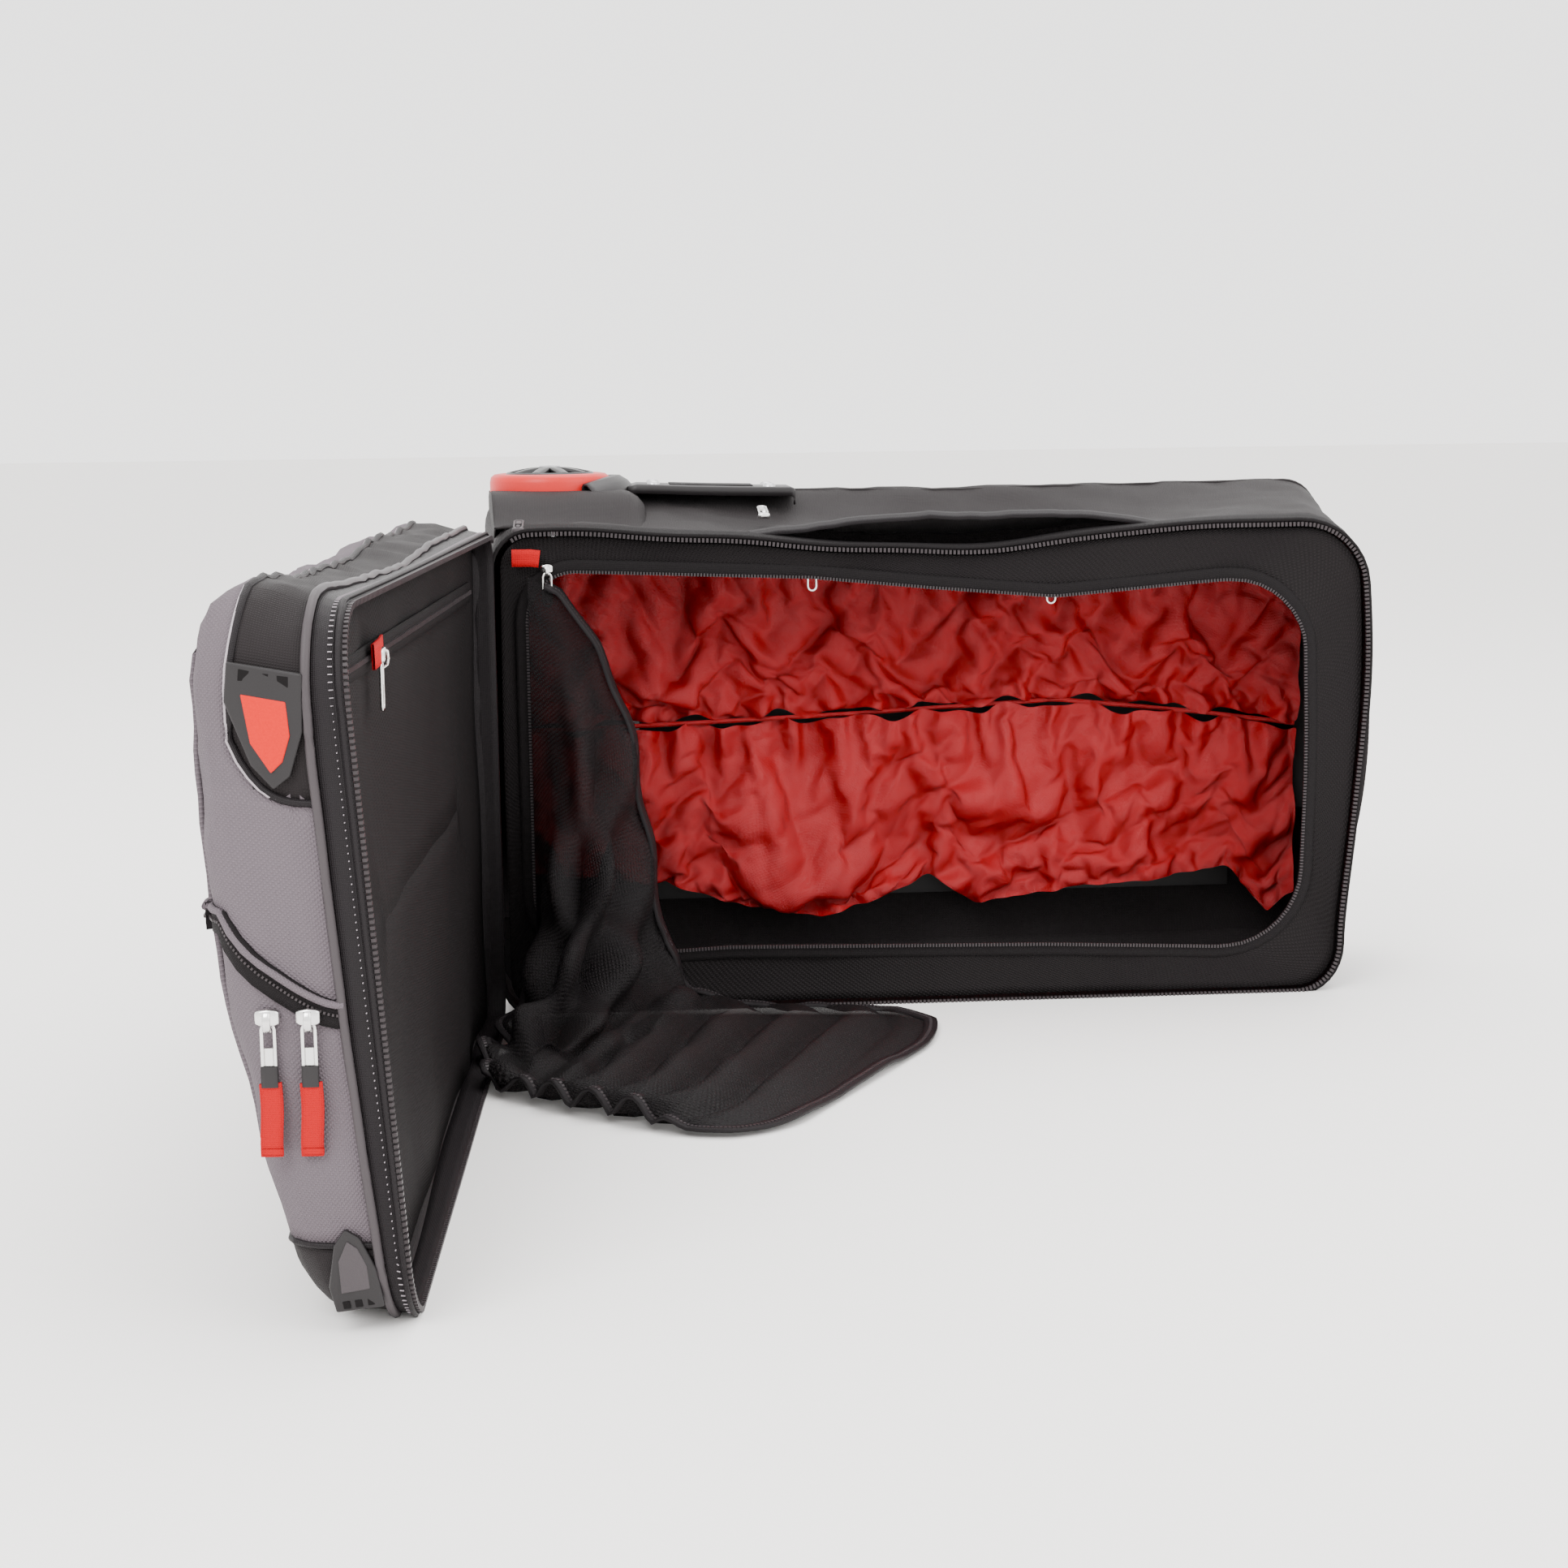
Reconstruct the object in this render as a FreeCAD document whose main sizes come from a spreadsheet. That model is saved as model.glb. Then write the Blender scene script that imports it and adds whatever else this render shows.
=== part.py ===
import FreeCAD, Part
import math, os
from FreeCAD import Placement, Rotation, Vector

# Wheeled clamshell gear bag lying on its long lower side, lid swung open about the foot end.
# Frame: +Z up, +X towards the head end, -Y out of the opening; origin on the floor face.

doc = FreeCAD.newDocument("gear_bag")
sheet = doc.addObject("Spreadsheet::Sheet", "dims")

DIMS = {
    "rim_len": 715, "width": 400, "rim_y": -70, "depth": 180, "crown": 30, "flare": 12,
    "wall": 4, "band": 20, "back_round": 16, "corner_big": 48, "corner_small": 40, "corner_hinge": 28,
    "lid_depth": 92, "lid_round": 34, "lid_crown": 12, "open_deg": 93, "gap": 0.3,
    "shoulder_top": 306, "shoulder_low": 50, "end_zone": 70,
    "win_left": -331, "win_right": 313, "win_low": 45, "win_top": 364, "win_round": 60,
    "sheet_thk": 2.5, "binding": 10,
    "liner_y": 64, "liner_split": 228, "liner_low": 60,
    "board_y": 102, "board_thk": 3.5,
    "wheel_dia": 104, "wheel_wide": 30, "wheel_x": -313, "wheel_y": 75, "rim_dia": 76,
    "tyre_face": 445, "hub_dome": 7, "axle_dia": 8, "axle_play": 0.06, "well_dia": 110,
    "house_len": 122, "fender_rise": 11, "fender_dia": 128, "house_y": 12, "house_high": 40,
    "tongue_len": 150, "tongue_wide": 60,
    "tube_gap": 104, "tube_dia": 18, "tube_y": 92, "tube_len": 590, "tube_x": -240,
    "stage_dia": 14, "tube_play": 0.05, "grip_len": 150, "grip_thk": 22, "button_len": 34,
    "strap_low": 100, "strap_high": 345, "strap_wide": 38, "strap_thk": 3.5, "strap_rise": 26,
    "pocket_x": -140, "pocket_len": 320, "pocket_y": -36, "pocket_mouth": 20, "pocket_deep": 12,
    "door_wide": 318, "door_reach": 240, "door_turn": -36, "door_thk": 3,
    "pull_len": 28, "pull_short": 13, "pull_wide": 6, "pull_thk": 1.6, "pin_rad": 0.8, "pin_play": 0.08,
    "slider_len": 10, "slider_deep": 7.5, "slider_high": 5, "tail_len": 46, "tail_wide": 12,
    "mesh_back": 17.5, "pocket_zip_z": 181, "lid_zip_z": 357, "bumper_wide": 40, "bumper_tall": 44,
}
for row, (alias, value) in enumerate(DIMS.items(), start=1):
    sheet.set("A%d" % row, alias)
    sheet.set("B%d" % row, str(value))
    sheet.setAlias("B%d" % row, alias)
doc.recompute()


def size(alias):
    return float(sheet.get(alias))


def bind(obj, **exprs):
    for prop, expr in exprs.items():
        obj.setExpression(prop, expr)
    return obj


def place(obj, x, y, z):
    for axis, expr in zip("xyz", (x, y, z)):
        obj.setExpression("Placement.Base." + axis, expr)
    return obj


def box(name, x, y, z, length, width, height):
    obj = bind(doc.addObject("Part::Box", name), Length=length, Width=width, Height=height)
    return place(obj, x, y, z)


def span(name, x0, x1, y0, y1, z0, z1):
    """A box between two bounds on each axis."""
    return box(name, x0, y0, z0, "(%s) - (%s)" % (x1, x0), "(%s) - (%s)" % (y1, y0),
               "(%s) - (%s)" % (z1, z0))


def cylinder(name, x, y, z, radius, height, along="Z"):
    obj = bind(doc.addObject("Part::Cylinder", name), Radius=radius, Height=height)
    turn = {"Z": Rotation(), "X": Rotation(Vector(0, 1, 0), 90), "Y": Rotation(Vector(1, 0, 0), -90)}
    obj.Placement = Placement(Vector(), turn[along])
    return place(obj, x, y, z)


def wedge(name, front, back):
    """A frustum along Y: front and back are (y, x0, x1, z0, z1)."""
    obj = doc.addObject("Part::Wedge", name)
    bind(obj, Ymin=front[0], Xmin=front[1], Xmax=front[2], Zmin=front[3], Zmax=front[4])
    return bind(obj, Ymax=back[0], X2min=back[1], X2max=back[2], Z2min=back[3], Z2max=back[4])


def cut(name, base, tool):
    obj = doc.addObject("Part::Cut", name)
    obj.Base, obj.Tool = base, tool
    return obj


def common(name, base, tool):
    obj = doc.addObject("Part::Common", name)
    obj.Base, obj.Tool = base, tool
    return obj


def fuse(name, *parts):
    obj = doc.addObject("Part::MultiFuse", name)
    obj.Shapes = list(parts)
    return obj


def fillet(name, base, radius_of):
    """Round the edges for which radius_of(edge) gives a radius."""
    doc.recompute()
    picked = [(i, radius_of(e)) for i, e in enumerate(base.Shape.Edges, start=1)]
    obj = doc.addObject("Part::Fillet", name)
    obj.Base = base
    obj.Edges = [(i, r, r) for i, r in picked if r]
    return obj


def middle(edge):
    return edge.valueAt((edge.FirstParameter + edge.LastParameter) / 2)


nodes = {}


def node(obj, label):
    obj.Label = label
    nodes[label] = obj
    return obj


HALF = "dims.rim_len / 2"
BACK_Y = "dims.rim_y + dims.depth"


def corner_radius(inset):
    def radius(edge):
        start, end = (v.Point for v in edge.Vertexes)
        if abs(start.y - end.y) < 0.5 * edge.Length:
            return 0
        at = middle(edge)
        if at.x < 0:
            return size("corner_hinge") - inset
        return size("corner_big" if at.z > 200 else "corner_small") - inset
    return radius


def rim_at(y, radius):
    return lambda edge: radius if all(abs(v.Y - y) < 1e-3 for v in edge.Vertexes) else 0


# ---- main tray: a flared tub, cut into its sewn panels --------------------------------------
back_y = size("rim_y") + size("depth")
tub = wedge("tub", ("dims.rim_y", "-" + HALF, HALF, "0", "dims.width"),
            (BACK_Y, "-%s - dims.flare" % HALF, HALF + " + dims.flare", "0", "dims.width + dims.crown"))
tub = fillet("tub_corners", tub, corner_radius(0))
tub = fillet("tub_round", tub, rim_at(back_y, size("back_round")))
W = "dims.wall"
hollow = wedge("hollow", ("dims.rim_y - 1", "-%s + %s" % (HALF, W), "%s - %s" % (HALF, W), W,
                          "dims.width - " + W),
               (BACK_Y + " - " + W, "-%s - dims.flare + %s" % (HALF, W),
                "%s + dims.flare - %s" % (HALF, W), W, "dims.width + dims.crown - " + W))
hollow = fillet("hollow_corners", hollow, corner_radius(size("wall")))
tub_shell = cut("tub_shell", tub, hollow)

# Wheel housings: a block at each foot-back corner with a round well and a flat tongue.
HOUSE_X0 = "-%s - dims.flare" % HALF
HOUSE_X1 = "dims.wheel_x + dims.house_len / 2"
TOP_BACK = "dims.width + dims.crown"


def housing_block(tag, z0, z1):
    return span("house_block_" + tag, HOUSE_X0, HOUSE_X1, "dims.house_y", BACK_Y + " + 1", z0, z1)


def wheel_housing(tag, z0, z1, well_z, well_high, tongue_z, fender_z=None):
    block = housing_block(tag, z0, z1)
    tongue = span("tongue_" + tag, HOUSE_X1 + " - 1", HOUSE_X1 + " + dims.tongue_len",
                  "dims.wheel_y - 3 - dims.tongue_wide / 2", "dims.wheel_y - 3 + dims.tongue_wide / 2",
                  tongue_z, tongue_z + " + 4")
    well = cylinder("well_" + tag, "dims.wheel_x", "dims.wheel_y", well_z, "dims.well_dia / 2",
                    well_high)
    solids = [block, tongue]
    if fender_z:
        fender = cylinder("fender_" + tag, "dims.wheel_x", "dims.wheel_y", fender_z,
                          "dims.fender_dia / 2", "dims.fender_rise + 1")
        reach = span("fender_reach_" + tag, "dims.wheel_x + 30", "dims.wheel_x + 80", "dims.house_y",
                     BACK_Y, fender_z, fender_z + " + 30")
        solids.append(common("fender_cut_" + tag, fender, reach))
    body = cut("house_cut_" + tag, fuse("house_fuse_" + tag, *solids), well)
    hole = cylinder("house_hole_" + tag, "dims.wheel_x", "dims.wheel_y", "0", "dims.axle_dia / 2",
                    "dims.width * 2")
    return body, hole, (block, tongue)


upper_raw, upper_hole, upper_cutters = wheel_housing(
    "upper", TOP_BACK + " - dims.house_high", TOP_BACK, "dims.tyre_face - dims.wheel_wide - 4",
    "dims.house_high + 20", TOP_BACK + " - 3", TOP_BACK + " - 1")
lower_raw, lower_hole, lower_cutters = wheel_housing(
    "lower", "0.3", "0.3 + dims.house_high + 6", "-4", "dims.house_high + 4", "0.3")
node(cut("housing_upper_bored", upper_raw, upper_hole), "wheel_housing_upper")
node(cut("housing_lower_bored", lower_raw, lower_hole), "wheel_housing_lower")
house_cutters = fuse("house_cutters", *upper_cutters, *lower_cutters)

INNER_X = "(%s - dims.end_zone)" % HALF
FAR = "(%s + 40)" % HALF
BAND_Y = "dims.rim_y + dims.band"
PANEL_END = BACK_Y + " - " + W
tub_left = cut("tub_less_housings", tub_shell, house_cutters)


def panel(label, source, *bounds):
    return node(common(label + "_common", source, span(label + "_zone", *bounds)), label)


top_raw = common("top_raw", tub_left, span("top_zone", "-" + INNER_X, INNER_X, BAND_Y, PANEL_END,
                                           "dims.width / 2", "dims.width * 2"))
mouth = span("pocket_mouth_tool", "dims.pocket_x", "dims.pocket_x + dims.pocket_len", "dims.pocket_y",
             "dims.pocket_y + dims.pocket_mouth", "dims.width / 2", "dims.width * 2")
node(cut("side_upper_cut", top_raw, mouth), "side_panel_upper")
panel("side_panel_lower", tub_left, "-" + INNER_X, INNER_X, BAND_Y, PANEL_END, "-1", "dims.width / 2")
panel("foot_panel", tub_left, "-" + FAR, "-" + INNER_X, BAND_Y, PANEL_END, "-1", "dims.width * 2")
head_raw = common("head_raw", tub_left, span("head_zone", INNER_X, FAR, BAND_Y, PANEL_END, "-1",
                                             "dims.width * 2"))
panel("back_panel", tub_left, "-" + FAR, FAR, PANEL_END, BACK_Y + " + 1", "-1", "dims.width * 2")

HINGE_X = "-%s + dims.corner_hinge" % HALF
rim_band = common("rim_band", tub_shell, span("rim_zone", "-" + FAR, FAR, "dims.rim_y - 1", BAND_Y,
                                              "-1", "dims.width * 2"))
node(common("main_tape_common", rim_band, span("main_tape_zone", HINGE_X, FAR, "dims.rim_y - 1", BAND_Y,
                                               "-1", "dims.width * 2")), "main_zip_tape")
node(common("hinge_strip_common", rim_band, span("hinge_zone", "-" + FAR, HINGE_X, "dims.rim_y - 1",
                                                 BAND_Y, "-1", "dims.width * 2")), "hinge_strip")

# Pouch under the side pocket's mouth.
PX0, PX1 = "dims.pocket_x - 12", "dims.pocket_x + dims.pocket_len + 12"
PY0, PY1 = "dims.pocket_y - 1", "dims.pocket_y + 96"
FLOOR_Z = "dims.width - dims.wall - dims.pocket_deep"
pouch = cut("pouch_shell", span("pouch_out", PX0, PX1, PY0, PY1, FLOOR_Z, "dims.width + 22"),
            span("pouch_in", PX0 + " + 2", PX1 + " - 2", PY0 + " + 1", PY1 + " - 2", FLOOR_Z + " + 2",
                 "dims.width * 2"))
node(common("pouch_trim", pouch, hollow), "side_pocket_pouch")

# Back board, the drawn liner and the divider frame with its rounded window.
IN_X = "(%s - 2 * %s)" % (HALF, W)
node(span("board", "-%s + 60" % HALF, "%s - 60" % HALF, "dims.board_y", "dims.board_y + dims.board_thk",
          "60", "dims.width - 40"), "back_board")
node(span("liner_top", "-" + IN_X, IN_X, "dims.liner_y", "dims.liner_y + dims.sheet_thk",
          "dims.liner_split + 3", "dims.width - 3 * dims.wall"), "liner_upper")
node(span("liner_bottom", "-" + IN_X, IN_X, "dims.liner_y", "dims.liner_y + dims.sheet_thk",
          "dims.liner_low", "dims.liner_split"), "liner_lower")

FRAME_Y = "dims.rim_y + 4"


def window(name, grow, y0, y1):
    raw = span(name + "_raw", "dims.win_left - %s" % grow, "dims.win_right + %s" % grow, y0, y1,
               "dims.win_low - %s" % grow, "dims.win_top + %s" % grow)
    round_ = size("win_round") + (size("binding") if "binding" in grow else 0)
    return fillet(name, raw, lambda e: round_ if abs(e.Vertexes[0].Y - e.Vertexes[-1].Y) > 1 else 0)


frame_blank = span("frame_blank", "-" + FAR, FAR, FRAME_Y, FRAME_Y + " + dims.sheet_thk", "-1",
                   "dims.width * 2")
frame_plate = common("frame_plate", frame_blank, hollow)
node(cut("frame_cut", frame_plate, window("window_hole", "0", FRAME_Y + " - 1", FRAME_Y + " + 6")),
     "divider_frame")
node(cut("binding_cut", window("binding_out", "dims.binding", FRAME_Y + " - 3", FRAME_Y),
         window("binding_in", "0", FRAME_Y + " - 9", FRAME_Y + " + 9")), "divider_binding")

# Mesh door: held along the window's foot edge, hanging, then lying flat on the floor.
door_flat = bind(doc.addObject("Part::Box", "door_flat"), Length="dims.door_reach",
                 Width="dims.door_wide", Height="dims.door_thk")
door_flat.Placement = Placement(Vector(-362, -336, 0.5), Rotation(Vector(0, 0, 1), size("door_turn")))
held = bind(doc.addObject("Part::Plane", "door_held"), Length="dims.door_thk", Width="dims.door_wide")
held.Placement = Placement(Vector(size("win_left") - 2, size("rim_y") - 4, size("win_low")),
                           Rotation(Vector(1, 0, 0), 90))
laid = bind(doc.addObject("Part::Plane", "door_laid"), Length="dims.door_thk", Width="dims.door_wide")
turned = Rotation(Vector(0, 0, 1), size("door_turn"))
laid.Placement = Placement(door_flat.Placement.Base + turned.multVec(Vector(1, 0, 3)),
                           turned.multiply(Rotation(Vector(0, 1, 0), 90)))
drop = doc.addObject("Part::Loft", "door_drop")
drop.Sections, drop.Solid, drop.Ruled = [held, laid], True, True
node(fuse("door_fuse", door_flat, drop), "mesh_door")

# ---- wheels -------------------------------------------------------------------------------
WX, WY = "dims.wheel_x", "dims.wheel_y"
BORE = "dims.axle_dia / 2 + dims.axle_play"


def wheel(tag, z0, outward):
    tyre = cut("tyre_cut_" + tag, cylinder("tyre_out_" + tag, WX, WY, z0, "dims.wheel_dia / 2",
                                           "dims.wheel_wide"),
               cylinder("tyre_in_" + tag, WX, WY, z0 + " - 1", "dims.rim_dia / 2", "dims.wheel_wide + 2"))
    outer = size("wheel_dia") / 2
    node(fillet("tyre_round_" + tag, tyre, lambda e: 7 if isinstance(e.Curve, Part.Circle) and
                abs(e.Curve.Radius - outer) < 0.1 else 0), "tyre_" + tag)
    hub = cylinder("hub_disc_" + tag, WX, WY, z0, "dims.rim_dia / 2", "dims.wheel_wide")
    dome_z = z0 + " + dims.wheel_wide" if outward > 0 else z0 + " - dims.hub_dome"
    dome = cylinder("hub_dome_" + tag, WX, WY, dome_z, "dims.rim_dia / 2 - 6", "dims.hub_dome")
    bore = cylinder("hub_bore_" + tag, WX, WY, z0 + " - 20", BORE, "dims.wheel_wide + 40")
    recess = cylinder("hub_recess_" + tag, WX, WY,
                      dome_z + (" + dims.hub_dome - 4" if outward > 0 else ""), "10.3", "4")
    node(cut("hub_cut_" + tag, fuse("hub_fuse_" + tag, hub, dome), fuse("hub_tools_" + tag, bore, recess)),
         "hub_" + tag)


UP_Z = "dims.tyre_face - dims.wheel_wide"
wheel("upper", UP_Z, 1)
LOW_Z = "dims.hub_dome + 0.6"
wheel("lower", LOW_Z, -1)
axle_up = fuse("axle_upper_fuse",
               cylinder("axle_upper_shank", WX, WY, TOP_BACK + " - dims.house_high", "dims.axle_dia / 2",
                        "dims.tyre_face + dims.hub_dome - 3.7 - (%s - dims.house_high)" % TOP_BACK),
               cylinder("axle_upper_head", WX, WY, "dims.tyre_face + dims.hub_dome - 3.7", "9", "3"))
node(axle_up, "axle_upper")
axle_low = fuse("axle_lower_fuse",
                cylinder("axle_lower_shank", WX, WY, "3.6", "dims.axle_dia / 2", "dims.house_high + 2.7"),
                cylinder("axle_lower_head", WX, WY, "1", "9", "2.8"))
node(axle_low, "axle_lower")

# ---- telescopic handle --------------------------------------------------------------------
MID_Z = "(dims.width + dims.crown) / 2"
HEAD_X = HALF + " + dims.flare"


def pair(name, x, radius, length):
    return [cylinder("%s_%s" % (name, side), x, "dims.tube_y", "%s %s dims.tube_gap / 2" % (MID_Z, sign),
                     radius, length, "X") for side, sign in (("low", "-"), ("high", "+"))]


foot_block = span("tube_foot", "dims.tube_x - 8", "dims.tube_x", "dims.tube_y - 8", "dims.tube_y + 8",
                  MID_Z + " - dims.tube_gap / 2 - 12", MID_Z + " + dims.tube_gap / 2 + 12")
guides = fuse("tube_guides", foot_block, *pair("tube_out", "dims.tube_x", "dims.tube_dia / 2",
                                               "dims.tube_len"))
bores = fuse("tube_bores", *pair("tube_bore", "dims.tube_x + 6", "dims.stage_dia / 2 + dims.tube_play",
                                 "dims.tube_len"))
node(cut("tubes_cut", guides, bores), "handle_tubes")
bezel_x = "dims.tube_x + dims.tube_len"
bezel = span("bezel_block", bezel_x, HEAD_X + " + 2", "dims.tube_y - 13", "dims.tube_y + 13",
             MID_Z + " - dims.grip_len / 2 - 6", MID_Z + " + dims.grip_len / 2 + 6")
bezel_bores = fuse("bezel_bores", *pair("bezel_bore", bezel_x + " - 1",
                                        "dims.stage_dia / 2 + dims.tube_play", "60"))
node(cut("bezel_cut", bezel, bezel_bores), "handle_bezel")
node(cut("head_cut", head_raw, bezel), "head_panel")
stage = fuse("stage_fuse", *pair("stage_tube", "dims.tube_x + 12", "dims.stage_dia / 2",
                                 HEAD_X + " + 3.5 - (dims.tube_x + 12)"))
grip_x = HEAD_X + " + 2.3"
grip_raw = span("grip_block", grip_x, grip_x + " + dims.grip_thk", "dims.tube_y - 12",
                "dims.tube_y + 12", MID_Z + " - dims.grip_len / 2", MID_Z + " + dims.grip_len / 2")
button_slot = span("button_slot", grip_x + " + dims.grip_thk - 7", grip_x + " + dims.grip_thk + 1",
                   "dims.tube_y - 5", "dims.tube_y + 5", MID_Z + " - dims.button_len / 2",
                   MID_Z + " + dims.button_len / 2")
grip_round = fillet("grip_round", grip_raw, lambda e: 5 if abs(e.Vertexes[0].Z - e.Vertexes[-1].Z) > 9
                    else 0)
stage_sockets = fuse("stage_sockets", *pair("stage_socket", grip_x + " - 1", "dims.stage_dia / 2", "2.2"))
node(cut("grip_cut", grip_round, fuse("grip_tools", button_slot, stage_sockets)), "handle_grip")
node(stage, "handle_stage")
node(span("button_block", grip_x + " + dims.grip_thk - 3.5", grip_x + " + dims.grip_thk + 2",
          "dims.tube_y - 4.7", "dims.tube_y + 4.7", MID_Z + " - dims.button_len / 2 + 0.3",
          MID_Z + " + dims.button_len / 2 - 0.3"), "handle_button")

# Webbing grab handle on the head end: a flat-topped arch standing off the panel.
strap_x = size("rim_len") / 2 + size("flare") * 0.39
arch_turn = Placement(Vector(strap_x, 0, 0), Rotation(Vector(0, 0, 1), -90))


def arch(name, inset):
    obj = wedge(name, ("0.5 - 1 * (%s)" % inset, "-dims.strap_wide / 2", "dims.strap_wide / 2",
                       "dims.strap_low + %s" % inset, "dims.strap_high - %s" % inset),
                ("dims.strap_rise - %s" % inset, "-dims.strap_wide / 2", "dims.strap_wide / 2",
                 "dims.strap_low + 26 + %s" % inset, "dims.strap_high - 26 - %s" % inset))
    return obj


strap_outer, strap_inner = arch("strap_outer", "0"), arch("strap_inner", "dims.strap_thk")
bind(strap_inner, Xmin="-dims.strap_wide", Xmax="dims.strap_wide", X2min="-dims.strap_wide",
     X2max="dims.strap_wide")
strap = cut("strap_cut", strap_outer, strap_inner)
doc.recompute()
strap.Placement = arch_turn
strap_trim = cut("strap_trim", strap, tub)
node(strap_trim, "head_handle")

# ---- lid, built closed and then swung open about the foot end ------------------------------
LID_Y = "(dims.rim_y - dims.gap)"
LID_OUT = "(%s - dims.lid_depth)" % LID_Y
lid_raw = wedge("lid_block", (LID_OUT, "-%s + 4" % HALF, HALF + " - 4", "2", "dims.width + dims.lid_crown"),
                (LID_Y, "-" + HALF, HALF, "0", "dims.width"))
lid_raw = fillet("lid_corners", lid_raw, corner_radius(0))
lid_out_y = size("rim_y") - size("gap") - size("lid_depth")
lid_raw = fillet("lid_rounded", lid_raw, rim_at(lid_out_y, size("corner_hinge") - 4))
lid_in = wedge("lid_hollow_block", (LID_OUT + " + " + W, "-%s + 4 + %s" % (HALF, W), HALF + " - 4 - " + W,
                                    "2 + " + W, "dims.width + dims.lid_crown - " + W),
               (LID_Y + " + 1", "-%s + %s" % (HALF, W), "%s - %s" % (HALF, W), W, "dims.width - " + W))
lid_in = fillet("lid_hollow", lid_in, corner_radius(size("wall")))
lid_in = fillet("lid_hollow_round", lid_in, rim_at(lid_out_y + size("wall"), size("corner_hinge") - 8))
lid_shell = cut("lid_shell", lid_raw, lid_in)
LID_BAND = LID_Y + " - dims.band"
LID_FAR = LID_OUT + " - 1"
hinge = Vector(-size("rim_len") / 2 - 0.5, size("rim_y") - size("gap") / 2, 0)
swing = Rotation(Vector(0, 0, 1), -size("open_deg"))


def swung(local):
    """The open-lid placement of something placed by `local` on the closed lid."""
    return Placement(hinge, swing) * Placement(-hinge, Rotation()) * local


lid_nodes = []


def lid_node(obj, label):
    lid_nodes.append(obj)
    return node(obj, label)


def lid_panel(label, *bounds):
    return lid_node(common(label + "_common", lid_shell, span(label + "_zone", *bounds)), label)


FRONT_Y = LID_OUT + " + dims.corner_hinge - 4"
lid_panel("lid_shoulder_upper", "-" + FAR, FAR, FRONT_Y, LID_BAND, "dims.shoulder_top", "dims.width * 2")
lid_panel("lid_shoulder_lower", "-" + FAR, FAR, LID_FAR, LID_BAND, "-1", "dims.shoulder_low")
lid_panel("lid_front_panel", "-" + FAR, FAR, LID_FAR, FRONT_Y, "dims.shoulder_low", "dims.width * 2")
lid_panel("lid_end_panel", INNER_X, FAR, FRONT_Y, LID_BAND, "dims.shoulder_low", "dims.shoulder_top")
lid_panel("lid_foot_panel", "-" + FAR, "-" + INNER_X, FRONT_Y, LID_BAND, "dims.shoulder_low",
          "dims.shoulder_top")
lid_panel("lid_zip_tape", HINGE_X, FAR, LID_BAND, LID_Y + " + 1", "-1", "dims.width * 2")
lid_panel("lid_hinge_tape", "-" + FAR, HINGE_X, LID_BAND, LID_Y + " + 1", "-1", "dims.width * 2")
MESH_Y = LID_Y + " - dims.mesh_back"
mesh_blank = span("lid_mesh_blank", "-" + FAR, FAR, MESH_Y + " - 2", MESH_Y, "-1", "dims.width * 2")
lid_node(common("lid_mesh_common", mesh_blank, lid_in), "lid_mesh_panel")
mesh_zip = span("lid_mesh_zip_block", "-%s + 30" % HALF, HALF + " - 20", MESH_Y, MESH_Y + " + 1.6",
                "dims.lid_zip_z - 8", "dims.lid_zip_z + 8")
lid_node(common("lid_mesh_zip_common", mesh_zip, lid_in), "lid_mesh_zip")
END_FACE = "(%s - 1.5)" % HALF
lid_node(cut("outer_zip_trim", span("outer_zip_block", END_FACE, HALF + " + 0.5",
                                    LID_OUT + " + 24", LID_BAND + " - 1", "dims.pocket_zip_z - 12",
                                    "dims.pocket_zip_z + 12"), lid_raw), "lid_pocket_zip")
bumper_y = LID_Y + " - 24 - dims.bumper_wide"
for tag, low in (("upper", "dims.shoulder_top + 10"), ("lower", "6")):
    blank = span("bumper_%s_block" % tag, END_FACE, HALF + " + 4", bumper_y, LID_Y + " - 24", low,
                 low + " + dims.bumper_tall" if tag == "upper" else "6 + dims.bumper_tall - 8")
    lid_node(cut("bumper_%s_trim" % tag, blank, lid_raw), "lid_bumper_" + tag)
doc.recompute()
for obj in lid_nodes:
    obj.Placement = swung(obj.Placement)

# ---- zip sliders and their pulls -----------------------------------------------------------
PIN_Y, PIN_Z = "-dims.slider_deep / 2 - 2", "dims.slider_high / 2 + 0.5"


def slider(label, where):
    """Slider on a face: local X along the chain, local Z off the face, pull hinged below it."""
    tag = label + "_"
    body = span(tag + "body", "-dims.slider_len / 2", "dims.slider_len / 2", "-dims.slider_deep / 2",
                "dims.slider_deep / 2", "0.3", "dims.slider_high + 0.3")
    lugs = [span(tag + "lug%d" % i, x0, x1, "-dims.slider_deep / 2 - 3", "0", PIN_Z + " - 1.2",
                 PIN_Z + " + 1.2")
            for i, (x0, x1) in enumerate((("-dims.pull_wide / 2 - 1.5", "-dims.pull_wide / 2 - 0.3"),
                                          ("dims.pull_wide / 2 + 0.3", "dims.pull_wide / 2 + 1.5")))]
    pin = cylinder(tag + "pin", "-dims.pull_wide / 2 - 1", PIN_Y, PIN_Z, "dims.pin_rad",
                   "dims.pull_wide + 2", "X")
    whole = fuse(tag + "fuse", body, *lugs, pin)
    doc.recompute()
    whole.Placement = where
    return node(whole, label)


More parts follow.
